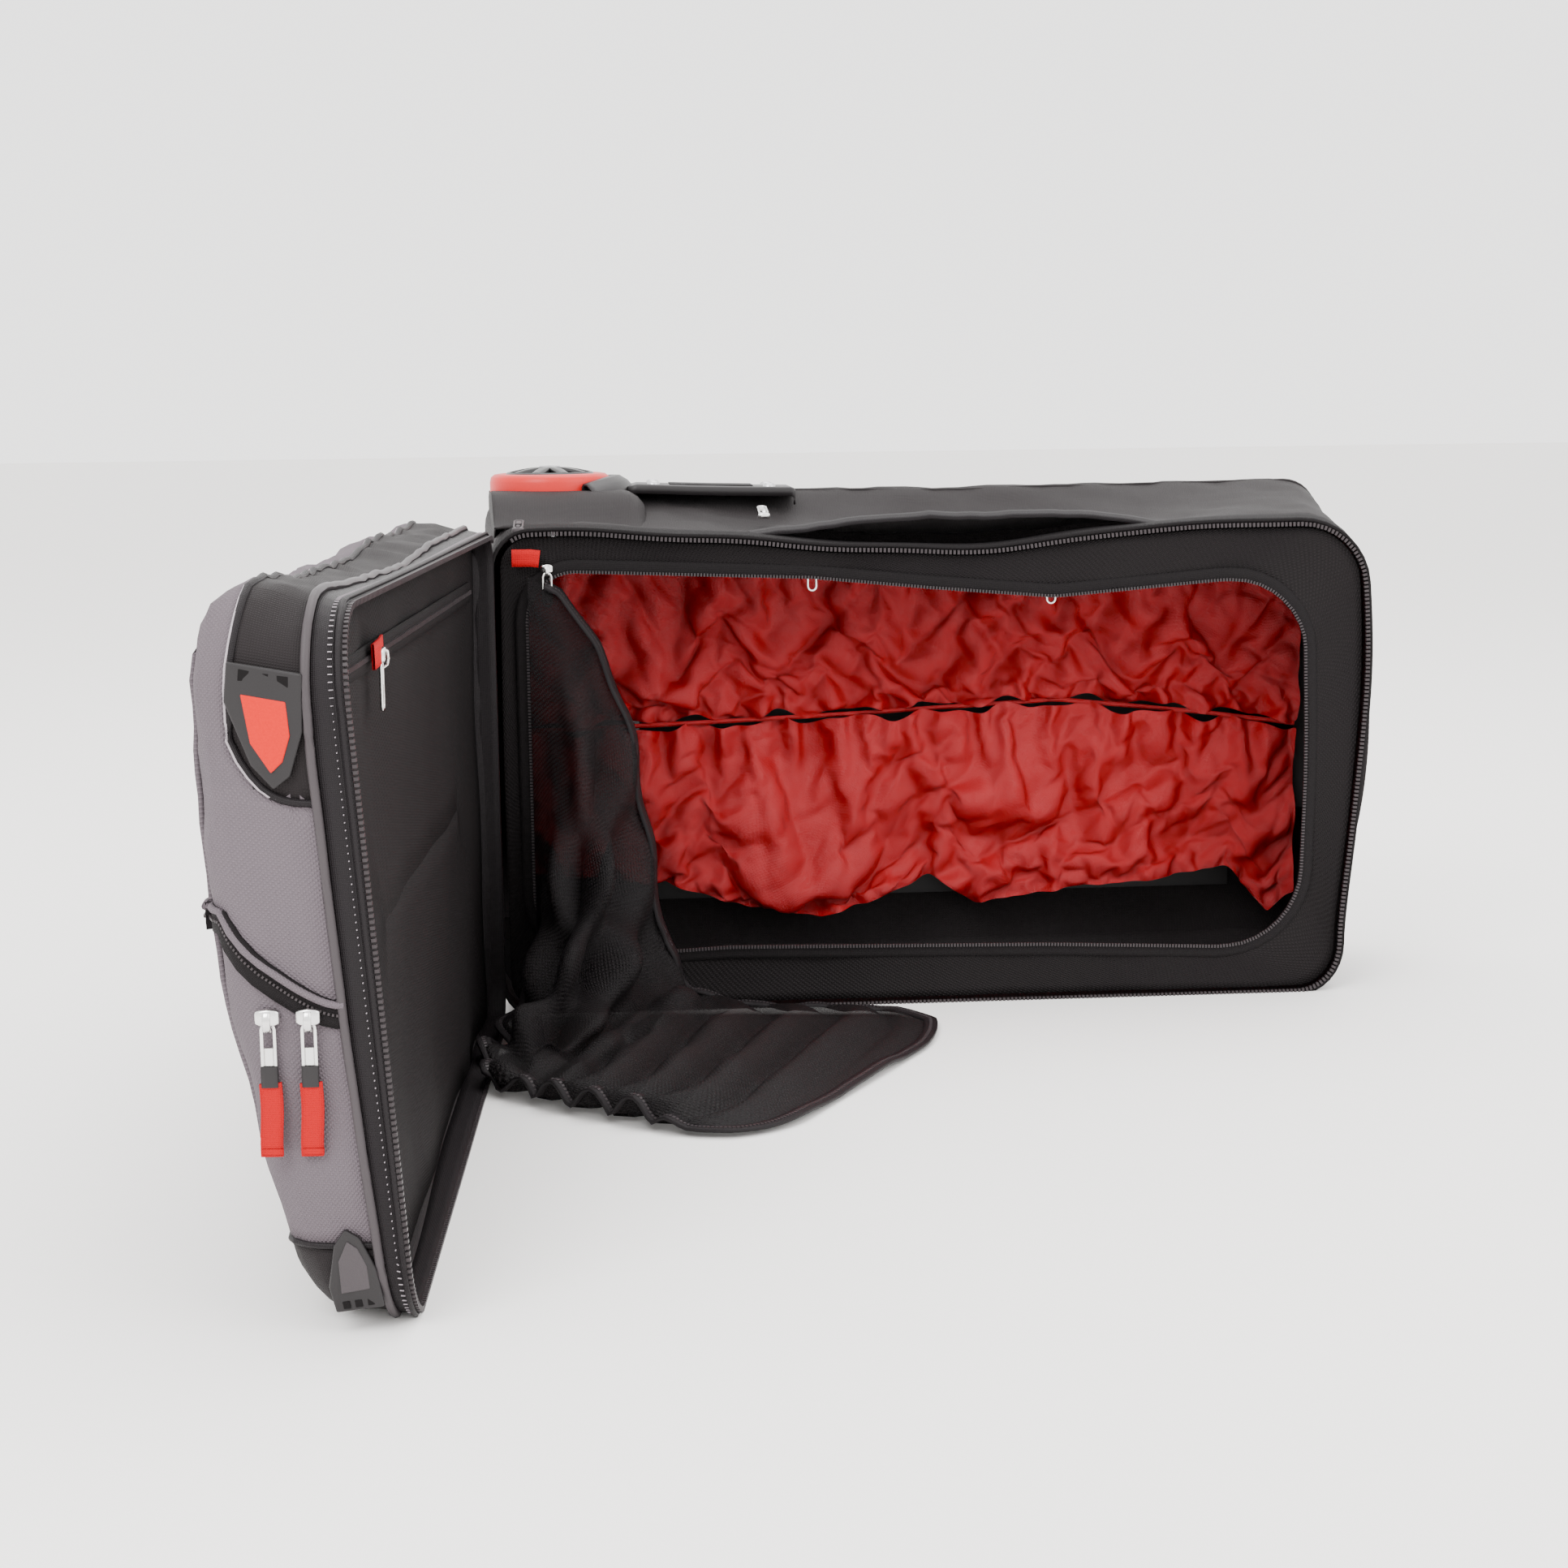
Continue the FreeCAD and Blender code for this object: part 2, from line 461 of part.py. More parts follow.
def pull(label, where, tail=False, length="dims.pull_len"):
    """Flat metal pull hinged on the slider's pin, with a webbing tail on some."""
    tag = label + "_"
    knuckle = cylinder(tag + "knuckle", "-dims.pull_wide / 2", PIN_Y, PIN_Z, "1.6", "dims.pull_wide", "X")
    blade = span(tag + "blade", "-dims.pull_wide / 2", "dims.pull_wide / 2", PIN_Y + " - " + length,
                 PIN_Y, PIN_Z + " - dims.pull_thk / 2", PIN_Z + " + dims.pull_thk / 2")
    parts = [knuckle, blade]
    if tail:
        parts.append(span(tag + "tail", "-dims.tail_wide / 2", "dims.tail_wide / 2",
                          PIN_Y + " - dims.pull_len - dims.tail_len", PIN_Y + " - dims.pull_len + 6",
                          PIN_Z + " - 1.3", PIN_Z + " + 1.3"))
    bore = cylinder(tag + "bore", "-dims.pull_wide", PIN_Y, PIN_Z, "dims.pin_rad + dims.pin_play",
                    "dims.pull_wide * 2", "X")
    whole = cut(tag + "cut", fuse(tag + "fuse", *parts), bore)
    doc.recompute()
    whole.Placement = where
    return node(whole, label)


def facing(x, y, z, chain, off):
    """Placement with local X along `chain` and local Z along `off`."""
    return Placement(Vector(x, y, z), Rotation(chain, Vector(), off, "XZY"))


X_AXIS, INTO = Vector(1, 0, 0), Vector(0, 1, 0)
TOP_NORMAL = Vector(0, -size("crown"), size("depth")).normalize()
half, rim_y, width = size("rim_len") / 2, size("rim_y"), size("width")
zip_z, lid_y = size("pocket_zip_z"), size("rim_y") - size("gap")
end_x = half + 0.8
top_rise = size("crown") / size("depth")
side_y = size("pocket_y") + size("pocket_mouth") / 2
SLIDERS = {
    "outer_slider_a": swung(facing(end_x, lid_y - 62, zip_z, INTO, X_AXIS)),
    "outer_slider_b": swung(facing(end_x, lid_y - 40, zip_z, INTO, X_AXIS)),
    "door_slider": facing(size("win_left") + 16, rim_y + 1, size("win_top") + 8, X_AXIS, -INTO),
    "mesh_slider": swung(facing(half - 190, lid_y - size("mesh_back") + 1.8, size("lid_zip_z"),
                                -X_AXIS, INTO)),
    "rim_slider": swung(facing(half - size("wall") - 1, lid_y - 6, 62, -INTO, -X_AXIS)),
    "main_slider": facing(-half + 20, rim_y + 4, width + 1.2, -X_AXIS, TOP_NORMAL),
    "side_slider": facing(size("pocket_x") + 6, side_y, width + 0.8 + top_rise * (side_y - rim_y),
                          -X_AXIS, TOP_NORMAL),
}
for name, where in SLIDERS.items():
    slider(name, where)
    pull(name.replace("slider", "pull"), where, tail=name.startswith("outer"),
         length="dims.pull_short" if name == "door_slider" else "dims.pull_len")
for tag, x, z in (("a", -97, 366), ("b", 103, 352)):
    where = facing(x, rim_y + 16, z, X_AXIS, -INTO)
    slider("window_ring_" + tag, where)
    pull("window_pull_" + tag, where, length="dims.pull_short")

# Red webbing tabs.
node(span("door_tab_block", "dims.win_left - 12", "dims.win_left + 10", "dims.rim_y - 1.5",
          "dims.rim_y + 0.6", "dims.win_top + 10", "dims.win_top + 24"), "door_tab")
side_tab = bind(doc.addObject("Part::Box", "side_tab_block"), Length="20", Width="20", Height="1.2")
side_tab.Placement = Placement(Vector(-6, 9, width + top_rise * (9 - rim_y) + 0.4),
                               Rotation(X_AXIS, math.degrees(math.atan(top_rise))))
node(side_tab, "side_pocket_tab")

doc.recompute()
os.makedirs("parts", exist_ok=True)
for obj in doc.Objects:
    if any(flag in obj.State for flag in ("Invalid", "Error")):
        raise RuntimeError("%s did not compute: %s" % (obj.Name, obj.State))
for label, obj in nodes.items():
    shape = obj.Shape
    if shape.isNull() or not shape.isValid() or len(shape.Solids) < 1:
        raise RuntimeError("%s has no valid solid" % label)
    shape.exportStep("parts/%s.step" % label)
    box_ = shape.BoundBox
    print("%-22s solids %d  x %7.1f %7.1f  y %7.1f %7.1f  z %7.1f %7.1f" % (
        label, len(shape.Solids), box_.XMin, box_.XMax, box_.YMin, box_.YMax, box_.ZMin, box_.ZMax))
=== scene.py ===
import math

import bpy
import numpy as np
from mathutils import Matrix


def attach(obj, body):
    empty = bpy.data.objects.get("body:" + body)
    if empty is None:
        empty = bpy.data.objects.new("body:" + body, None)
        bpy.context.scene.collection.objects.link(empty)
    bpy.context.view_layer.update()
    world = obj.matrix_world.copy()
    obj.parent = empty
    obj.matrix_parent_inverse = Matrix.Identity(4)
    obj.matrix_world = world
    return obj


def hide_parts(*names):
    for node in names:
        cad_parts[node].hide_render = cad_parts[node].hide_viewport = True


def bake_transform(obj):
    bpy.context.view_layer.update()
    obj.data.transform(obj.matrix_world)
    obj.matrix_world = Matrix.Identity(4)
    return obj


# Wheeled clamshell gear bag, lid open. Lengths below are in millimetres, turned to metres on the mesh.
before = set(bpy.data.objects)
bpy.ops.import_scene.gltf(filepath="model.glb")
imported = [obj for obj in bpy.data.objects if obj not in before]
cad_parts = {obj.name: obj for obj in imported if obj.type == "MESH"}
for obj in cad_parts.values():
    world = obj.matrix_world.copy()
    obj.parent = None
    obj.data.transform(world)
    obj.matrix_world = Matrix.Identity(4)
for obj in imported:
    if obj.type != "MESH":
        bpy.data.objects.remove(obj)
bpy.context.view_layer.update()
MM = 0.001


# ---- shapes -------------------------------------------------------------------------------
def unit(v):
    v = np.asarray(v, float)
    return v / np.maximum(np.linalg.norm(v, axis=-1, keepdims=True), 1e-9)


def ease(x, a, b):
    t = np.clip((np.asarray(x, float) - a) / (b - a), 0, 1)
    return t * t * (3 - 2 * t)


def bump(x, centre, width):
    return np.exp(-((np.asarray(x, float) - centre) / width) ** 2)


def ripple(P, wavelength, height, seed, stretch=(1, 1, 1), sharp=False):
    """Smooth seeded undulation of points, or creases where sharp."""
    rng = np.random.default_rng(seed)
    total = np.zeros(P.shape[:-1])
    for _ in range(7):
        k = unit(rng.normal(size=3)) * np.array(stretch) * 2 * math.pi / (wavelength * rng.uniform(0.6,
                                1.5))
        wave = np.sin(P @ k + rng.uniform(0, 7))
        total += 1 - 2 * np.abs(wave) if sharp else wave
    return total * height / 3


def piece(name, verts, faces, mat, body="case", uv=None, smooth=True, thick=0.0, replaces=(), slot=None):
    mesh = bpy.data.meshes.new(name)
    mesh.from_pydata((np.asarray(verts, float) * MM).tolist(), [], [list(map(int, f)) for f in faces])
    if uv is not None:
        layer = mesh.uv_layers.new(name="UVMap")
        layer.data.foreach_set("uv", np.asarray(uv, np.float32).ravel())
    mesh.update()
    obj = bpy.data.objects.new(name, mesh)
    bpy.context.scene.collection.objects.link(obj)
    mesh.materials.append(mat)
    mesh.polygons.foreach_set("use_smooth", [smooth] * len(mesh.polygons))
    if thick:
        solid = obj.modifiers.new("thick", "SOLIDIFY")
        solid.thickness, solid.offset = thick * MM, -1
    if body:
        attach(obj, body)
    if replaces:
        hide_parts(*replaces)
    return obj


def grid(name, P, mat, closed=False, keep=None, flip=False, **more):
    """Quad surface through P[i, j]; keep(centres) picks the faces that are made."""
    P = np.asarray(P, float)
    n, m = P.shape[:2]
    I, J = np.meshgrid(np.arange(n if closed else n - 1), np.arange(m - 1), indexing="ij")
    I2 = (I + 1) % n
    faces = np.stack([I * m + J, I2 * m + J, I2 * m + J + 1, I * m + J + 1], -1).reshape(-1, 4)
    ring = np.concatenate([P, P[:1]]) if closed else P
    U = np.concatenate([[0], np.cumsum(np.linalg.norm(np.diff(ring, axis=0), axis=-1).mean(1))]) * MM
    V = np.concatenate([[0], np.cumsum(np.linalg.norm(np.diff(P, axis=1), axis=-1).mean(0))]) * MM
    uv = np.stack([np.stack([U[I], V[J]], -1), np.stack([U[I + 1], V[J]], -1),
                   np.stack([U[I + 1], V[J + 1]], -1), np.stack([U[I], V[J + 1]], -1)], -2).reshape(-1, 4,
                                           2)
    flat = P.reshape(-1, 3)
    if keep is not None:
        wanted = keep(flat[faces].mean(1))
        faces, uv = faces[wanted], uv[wanted]
        used, faces = np.unique(faces, return_inverse=True)
        flat, faces = flat[used], faces.reshape(-1, 4)
    if flip:
        faces, uv = faces[:, ::-1], uv[:, ::-1]
    return piece(name, flat, faces, mat, uv=uv, **more)


def path_frames(pts, closed, up):
    pts = np.asarray(pts, float)
    ahead = np.roll(pts, -1, 0) - np.roll(pts, 1, 0)
    if not closed:
        ahead[0], ahead[-1] = pts[1] - pts[0], pts[-1] - pts[-2]
    along = unit(ahead)
    up = np.broadcast_to(np.asarray(up, float), pts.shape)
    side = unit(np.cross(along, up))
    return along, side, unit(np.cross(side, along))


def tube(name, pts, radius, mat, closed=False, sides=8, flat=1.0, up=(0, 0, 1), **more):
    pts = np.asarray(pts, float)
    _, side, over = path_frames(pts, closed, up)
    a = np.linspace(0, 2 * math.pi, sides + 1)
    ring = side[:, None] * np.cos(a)[:, None] + over[:, None] * (np.sin(a) * flat)[:, None]
    return grid(name, pts[:, None] + ring * radius, mat, closed=closed, **more)


def ribbon(name, pts, width, thickness, mat, closed=False, up=(0, 0, 1), **more):
    """Flat strap along a path, its flat face towards `up`."""
    pts = np.asarray(pts, float)
    _, side, over = path_frames(pts, closed, up)
    w, h = width / 2, thickness / 2
    ring = [(-w, -h), (-w, h), (-w * 0.4, h * 1.15), (w * 0.4, h * 1.15), (w, h), (w, -h), (-w, -h)]
    P = np.stack([pts + side * a + over * b for a, b in ring], 1)
    return grid(name, P, mat, closed=closed, **more)


def spin(name, profile, centre, mat, steps=72, **more):
    """Surface of revolution about Z through (radius, z) points."""
    a = np.linspace(0, 2 * math.pi, steps, endpoint=False)
    prof = np.asarray(profile, float)
    P = np.stack([centre[0] + prof[:, 0] * np.cos(a)[:, None], centre[1] + prof[:, 0] * np.sin(a)[:, None],
                  np.broadcast_to(prof[:, 1], (steps, len(prof)))], -1)
    return grid(name, P, mat, closed=True, **more)


CUBE = np.array([[x, y, z] for x in (-.5, .5) for y in (-.5, .5) for z in (-.5, .5)])
CUBE_FACES = np.array([[0, 1, 3, 2], [4, 6, 7, 5], [0, 4, 5, 1], [2, 3, 7, 6], [0, 2, 6, 4], [1, 5, 7, 3]])


def blocks(name, centres, X, Y, Z, size_, mat, bevel=0.0, **more):
    """Many small blocks in one piece, each on its own axes."""
    centres = np.asarray(centres, float)
    X, Y, Z = (np.broadcast_to(np.asarray(v, float), centres.shape) for v in (X, Y, Z))
    c = CUBE * np.asarray(size_, float)
    V = centres[:, None] + X[:, None] * c[None, :, :1] + Y[:, None] * c[None, :, 1:2] + Z[:,
                            None] * c[None, :, 2:]
    F = CUBE_FACES[None] + 8 * np.arange(len(centres))[:, None, None]
    obj = piece(name, V.reshape(-1, 3), F.reshape(-1, 4), mat, smooth=False, **more)
    if bevel:
        b = obj.modifiers.new("bevel", "BEVEL")
        b.width, b.segments = bevel * MM, 2
    return obj


def resample(pts, pitch, closed=False):
    pts = np.asarray(pts, float)
    if closed:
        pts = np.concatenate([pts, pts[:1]])
    s = np.concatenate([[0], np.cumsum(np.linalg.norm(np.diff(pts, axis=0), axis=1))])
    at = np.arange(pitch / 2, s[-1], pitch)
    return np.stack([np.interp(at, s, pts[:, k]) for k in range(3)], -1)


def teeth(name, pts, mat, out, body="case", closed=False, pitch=3.4, size_=(1.9, 3.4, 2.6)):
    """Zip chain along a path; `out` is the way the teeth point."""
    at = resample(pts, pitch, closed)
    along, side, over = path_frames(at, closed, out)
    return blocks(name, at, along, side, over, size_, mat, body=body)


def loop(x0, x1, z0, z1, radii, straight=(56, 36, 56, 36), corner=8, stops=()):
    """Rounded rectangle in XZ from the foot-floor corner, along the floor, up the head end and back."""
    bl, br, tr, tl = (max(r, 2.0) for r in radii)
    corners = [((x1 - br, z0 + br), br, -90), ((x1 - tr, z1 - tr), tr, 0),
               ((x0 + tl, z1 - tl), tl, 90), ((x0 + bl, z0 + bl), bl, 180)]
    lines = [((x0 + bl, z0), (x1 - br, z0)), ((x1, z0 + br), (x1, z1 - tr)),
             ((x1 - tr, z1), (x0 + tl, z1)), ((x0, z1 - tl), (x0, z0 + bl))]
    pts = []
    for (a, b), n, (c, r, start) in zip(lines, straight, corners):
        run = np.linspace(a, b, n, endpoint=False)
        if stops and abs(a[0] - b[0]) < 1e-6:
            for stop in stops:
                nearest = np.abs(run[1:, 1] - stop).argmin() + 1
                run[nearest, 1] = stop
        pts.extend(run)
        for k in range(corner):
            t = math.radians(start + 90 * k / corner)
            pts.append((c[0] + r * math.cos(t), c[1] + r * math.sin(t)))
    return np.array(pts, float)


HEAD_RUN, FOOT_RUN = slice(64, 100), slice(172, 216)
OPEN_RUN = slice(4, 168)


# ---- materials ----------------------------------------------------------------------------
def material(name, slot, color, rough=0.7, metal=0.0, spread=0.25, speck=900.0, weave=0.0, weave_mm=1.4,
             turn=0.0,
             relief=0.2, crease=0.0, crease_scale=14.0, sheen=0.0, coat=0.0, alpha=1.0, holes=0.0,
             depth=0.0006,
             direct=False, gloss=0.12):
    mat = bpy.data.materials.new(name)
    mat["slot"] = slot
    mat.use_nodes = True
    nt = mat.node_tree
    N, L = nt.nodes, nt.links
    b = N["Principled BSDF"]
    b.inputs["Roughness"].default_value = rough
    b.inputs["Metallic"].default_value = metal
    b.inputs["Sheen Weight"].default_value = sheen
    b.inputs["Sheen Roughness"].default_value = 0.5
    b.inputs["Coat Weight"].default_value = coat
    b.inputs["Specular IOR Level"].default_value = gloss
    where = N.new("ShaderNodeTexCoord").outputs["Object" if direct else "UV"]

    def noise_node(scale, detail=4.0, rough_=0.6, stretch=None):
        node = N.new("ShaderNodeTexNoise")
        node.inputs["Scale"].default_value = scale
        node.inputs["Detail"].default_value = detail
        node.inputs["Roughness"].default_value = rough_
        source = where
        if stretch:
            m = N.new("ShaderNodeMapping")
            m.inputs["Scale"].default_value = stretch
            L.new(where, m.inputs["Vector"])
            source = m.outputs["Vector"]
        L.new(source, node.inputs["Vector"])
        return node.outputs["Fac"]

    def maths(op, a, c):
        node = N.new("ShaderNodeMath")
        node.operation = op
        for i, v in enumerate((a, c)):
            if isinstance(v, (int, float)):
                node.inputs[i].default_value = v
            else:
                L.new(v, node.inputs[i])
        return node.outputs["Value"]

    grain = noise_node(speck)
    patch = noise_node(9.0, 3.0)
    height = maths("MULTIPLY", grain, relief)
    tone = maths("ADD", maths("MULTIPLY", grain, 0.7), maths("MULTIPLY", patch, 0.3))
    if weave:
        waves = []
        for direction in ("X", "Y"):
            w = N.new("ShaderNodeTexWave")
            w.bands_direction = direction
            w.inputs["Scale"].default_value = 314.0 / weave_mm
            w.inputs["Distortion"].default_value = 0.4
            w.inputs["Detail"].default_value = 1.0
            m = N.new("ShaderNodeMapping")
            m.inputs["Rotation"].default_value = (0, 0, math.radians(turn))
            L.new(where, m.inputs["Vector"])
            L.new(m.outputs["Vector"], w.inputs["Vector"])
            waves.append(w.outputs["Fac"])
        cross = maths("MULTIPLY", waves[0], waves[1])
        height = maths("ADD", height, maths("MULTIPLY", cross, weave))
        tone = maths("ADD", maths("MULTIPLY", tone, 0.6), maths("MULTIPLY", cross, 0.5))
    if crease:
        v = N.new("ShaderNodeTexVoronoi")
        v.feature = "DISTANCE_TO_EDGE"
        v.inputs["Scale"].default_value = crease_scale
        warp = N.new("ShaderNodeVectorMath")
        warp.operation = "MULTIPLY_ADD"
        n2 = N.new("ShaderNodeTexNoise")
        n2.inputs["Scale"].default_value = crease_scale * 0.7
        L.new(where, n2.inputs["Vector"])
        L.new(n2.outputs["Color"], warp.inputs[0])
        warp.inputs[1].default_value = (0.10, 0.10, 0.10)
        L.new(where, warp.inputs[2])
        L.new(warp.outputs["Vector"], v.inputs["Vector"])
        fold = maths("MULTIPLY", maths("MINIMUM", v.outputs["Distance"], 0.22), crease * 4)
        height = maths("ADD", height, fold)
        height = maths("ADD", height, maths("MULTIPLY", noise_node(crease_scale * 3, 3.0, 0.7),
                       crease * 0.5))
    ramp = N.new("ShaderNodeMix")
    ramp.data_type = "RGBA"
    L.new(tone, ramp.inputs["Factor"])
    low = [max(0.0, c * (1 - spread)) for c in color]
    high = [min(1.0, c * (1 + spread)) for c in color]
    ramp.inputs["A"].default_value = (*low, 1)
    ramp.inputs["B"].default_value = (*high, 1)
    L.new(ramp.outputs["Result"], b.inputs["Base Color"])
    bmp = N.new("ShaderNodeBump")
    bmp.inputs["Distance"].default_value = depth if not crease else 0.004
    bmp.inputs["Strength"].default_value = 0.8
    L.new(height, bmp.inputs["Height"])
    L.new(bmp.outputs["Normal"], b.inputs["Normal"])
    L.new(maths("ADD", maths("MULTIPLY", patch, 0.12), rough - 0.06), b.inputs["Roughness"])
    if alpha < 1:
        L.new(maths("ADD", maths("MULTIPLY", grain, holes), alpha), b.inputs["Alpha"])
    return mat


NYLON = material("nylon", "black_nylon", (0.0125, 0.0100, 0.0105), 0.62, weave=0.5, sheen=0.03, spread=0.35)
# A darker copy of the black nylon: painted shade for the inside of the side pocket and for the bumper
# slots.
NYLON_SHADE = material("nylon_painted_shade", "black_nylon", (0.005, 0.004, 0.0042), 0.7, weave=0.4, spread=0.35)
GREY = material("grey_weave", "grey_weave", (0.120, 0.100, 0.113), 0.78, weave=0.9, weave_mm=1.9, turn=45,
                speck=700, spread=0.35, depth=0.0008)
TAPE = material("zip_tape", "zip_tape", (0.0085, 0.0070, 0.0075), 0.7, weave=0.8, weave_mm=1.1, spread=0.35)
BINDING = material("binding", "zip_tape", (0.0120, 0.0100, 0.0110), 0.42, weave=0.5, weave_mm=1.0,
                   spread=0.3)
TEETH = material("zip_teeth", "zip_tape", (0.040, 0.034, 0.036), 0.35, speck=300, spread=0.3, direct=True)
MESH = material("mesh_cloth", "mesh_cloth", (0.0075, 0.0060, 0.0065), 0.6, weave=1.0, weave_mm=2.6, turn=35,
                spread=0.9, alpha=0.72, holes=0.45, depth=0.0008)
MESH_SOLID = material("mesh_backed", "mesh_cloth", (0.0085, 0.0068, 0.0072), 0.7, weave=1.0, weave_mm=2.6,
                      turn=35, spread=0.7, depth=0.0008)
RED = material("taffeta", "red_taffeta", (0.31, 0.0006, 0.0035), 0.22, weave=0.10, weave_mm=0.8, sheen=0.0,
               spread=0.12, crease=0.16, crease_scale=9, gloss=0.5)
WEB = material("red_webbing", "red_webbing", (0.42, 0.0020, 0.0050), 0.6, weave=0.8, weave_mm=1.2,
               spread=0.2)
PLASTIC = material("moulded", "black_plastic", (0.0125, 0.0108, 0.0115), 0.42, gloss=0.3, speck=1400,
                   spread=0.2, direct=True)
# Grey moulded plastic; on the hub disc it is a painted highlight, showing pale in the slots between the
# black spokes.
GREY_PLASTIC_AND_HIGHLIGHT = material("moulded_grey_and_highlight", "black_plastic", (0.055, 0.048, 0.051), 0.4, speck=1400, spread=0.2,
                        direct=True)
TYRE = material("tyre_red", "red_tyre", (0.52, 0.0090, 0.0070), 0.38, gloss=0.3, speck=500, spread=0.12,
                direct=True)
HUB = material("hub_plastic", "hub_plastic", (0.012, 0.011, 0.0115), 0.3, gloss=0.4, speck=900,
               spread=0.2, direct=True)
NICKEL = material("nickel", "nickel", (0.74, 0.73, 0.72), 0.2, gloss=0.5, metal=1.0, speck=200,
                  spread=0.06, relief=0.05,
                  direct=True)
STEEL = material("steel", "steel", (0.55, 0.55, 0.56), 0.35, gloss=0.5, metal=1.0, speck=300, spread=0.1,
                 direct=True)
TUBE = material("anodised", "aluminium", (0.62, 0.62, 0.64), 0.3, gloss=0.5, metal=1.0, speck=300,
                spread=0.08, direct=True)
PIPING = material("piping", "grey_weave", (0.34, 0.30, 0.325), 0.5, weave=0.4, spread=0.2)
INLAY = material("bumper_inlay", "red_webbing", (0.56, 0.0090, 0.0050), 0.45, direct=True)

# ---- main tray ----------------------------------------------------------------------------
RIM_Y, BACK_Y, HALF = -70.0, 110.0, 357.5
RADII = np.array([28.0, 40.0, 50.0, 28.0])
TAPER = np.array([0.0, -8.0, -24.0, 0.0])


def settle(P):
    """How the sewn tray sags and bulges away from its drawn shape."""
    P = np.array(P, float)
    x, y, z = P[..., 0], P[..., 1], P[..., 2]
    t = np.clip((y - RIM_Y) / 180, 0, 1)
    high = ease(z, 230, 395)
    rim_sag = 19 * bump(x, -15, 150) + 5 * bump(x, 110, 90)
    mid_sag = 20 * bump(x, 30, 210) * np.sin(math.pi * np.clip(t, 0, 1)) ** 1.5
    z = z - high * (rim_sag * (1 - t) ** 1.3 + mid_sag)
    head = ease(x, 250, 357) * (1 - t)
    x = x + head * (12 * bump(z, 290, 120) - 6 * bump(z, 40, 70))
    y_wave = ripple(P, 260, 1.2, 3)
    x = x + ease(np.abs(P[..., 0]), 300, 350) * y_wave * ease(P[..., 2], 10, 60)
    z = z + high * ripple(P, 150, 1.6, 5) * (1 - 0.7 * t)
    return np.stack([x, y, z], -1)


def tub(y, inset=0.0):
    t = (y - RIM_Y) / 180
    ring = loop(-HALF - 12 * t + inset, HALF + 12 * t - inset, inset, 400 + 30 * t - inset,
                RADII + TAPER * t - inset)
    return np.insert(ring, 1, y, axis=1)


def at_y(ring, y):
    ring = np.array(ring)
    ring[:, 1] = y
    return ring


LIP = (-150.0, 195.0)


def lift_lip(P):
    """The back lip of the side pocket stands up off the rim band."""
    x, y, z = P[..., 0], P[..., 1], P[..., 2]
    s = np.clip((x - LIP[0]) / (LIP[1] - LIP[0]), 0, 1)
    up = 27 * np.sin(math.pi * s) ** 0.9 * np.exp(-(np.clip(y + 50, 0, 200) / 55) ** 1.5) * ease(z, 300,
                            380)
    P = P.copy()
    P[..., 2] += up
    return P


rows = [(y, 0.0) for y in np.linspace(-50, 94, 14)]
rows += [(94 + 16 * math.sin(a), 16 * (1 - math.cos(a))) for a in np.radians([18, 36, 54, 72, 90])]
shell = settle(np.stack([tub(y, i) for y, i in rows], 1))
shell = lift_lip(shell)
shell += ripple(shell, 70, 1.1, 11, sharp=True)[..., None] * np.array([0.2, 0.2, 1.0])
shell[..., 2] = np.maximum(shell[..., 2], 0.4)
grid("tray_walls", shell, NYLON, closed=True, thick=3, flip=False,
     replaces=["side_panel_upper", "side_panel_lower", "foot_panel", "head_panel"])

edge = shell[:, -1]
spine = np.stack([np.clip(edge[:, 0], -240, 240), np.full(len(edge), BACK_Y + 2.0), np.full(len(edge),
                 215.0)], -1)
back = np.stack([edge * (1 - s) + spine * s for s in np.linspace(0, 1, 9)], 1)
back[..., 1] += (2.5 + ripple(back, 120, 1.0, 17)) * np.sin(math.pi * np.linspace(0, 1, 9))
grid("back_skin", back, NYLON, closed=True, flip=True, replaces=["back_panel"])
tube("back_piping", settle(tub(94.0, -1.0)), 2.2, NYLON, closed=True, up=(0, 1, 0))

band = np.stack([settle(tub(y, -1.2)) for y in (-70, -64, -57, -50)], 1)
band[..., 2] = np.maximum(band[..., 2], 0.3)
grid("rim_band", band, TAPE, closed=True, thick=3, flip=False, replaces=["main_zip_tape", "hinge_strip"])
rim_line = settle(tub(-70.0, 0.5))
chain = at_y(rim_line, -71.6)[OPEN_RUN]
teeth("main_chain", chain, TEETH, (0, -1, 0))

# Side pocket: binding on its lip and the pouch seen under it, drawn in a darker copy of the black nylon as
# painted shade inside the pocket.
lip_pts = shell[108:172, 0]
lip_pts = lip_pts[(lip_pts[:, 0] > LIP[0] - 8) & (lip_pts[:, 0] < LIP[1] + 8)]
ribbon("pocket_binding", lip_pts + [0, -1, 1.0], 9, 2.6, BINDING, up=(0, -0.5, 1))
tube("pocket_stitch", lip_pts + [0, 9, 1.6], 0.6, PIPING, sides=5)
px = np.linspace(LIP[0], LIP[1], 40)
py = np.linspace(-50, 66, 12)
X, Y = np.meshgrid(px, py, indexing="ij")
pouch = np.stack([X, Y, 383 + 0.02 * Y + 0 * X], -1)
pouch[..., 2] += 6 * (1 - np.sin(math.pi * (X - LIP[0]) / 345)) - 3 * np.sin(math.pi * (Y + 50) / 116)
pouch = settle(pouch)
grid("pocket_pouch", pouch, NYLON_SHADE, thick=1.2, replaces=["side_pocket_pouch"])

# ---- divider frame with its window --------------------------------------------------------
WIN = dict(x0=-331.0, x1=315.0, z0=46.0, z1=365.0)
drop_x = [-331, -298, -98, 0, 104, 180, 241, 313]
drop_z = [4, 3, -5, -15, -24, -18, -13, -12]


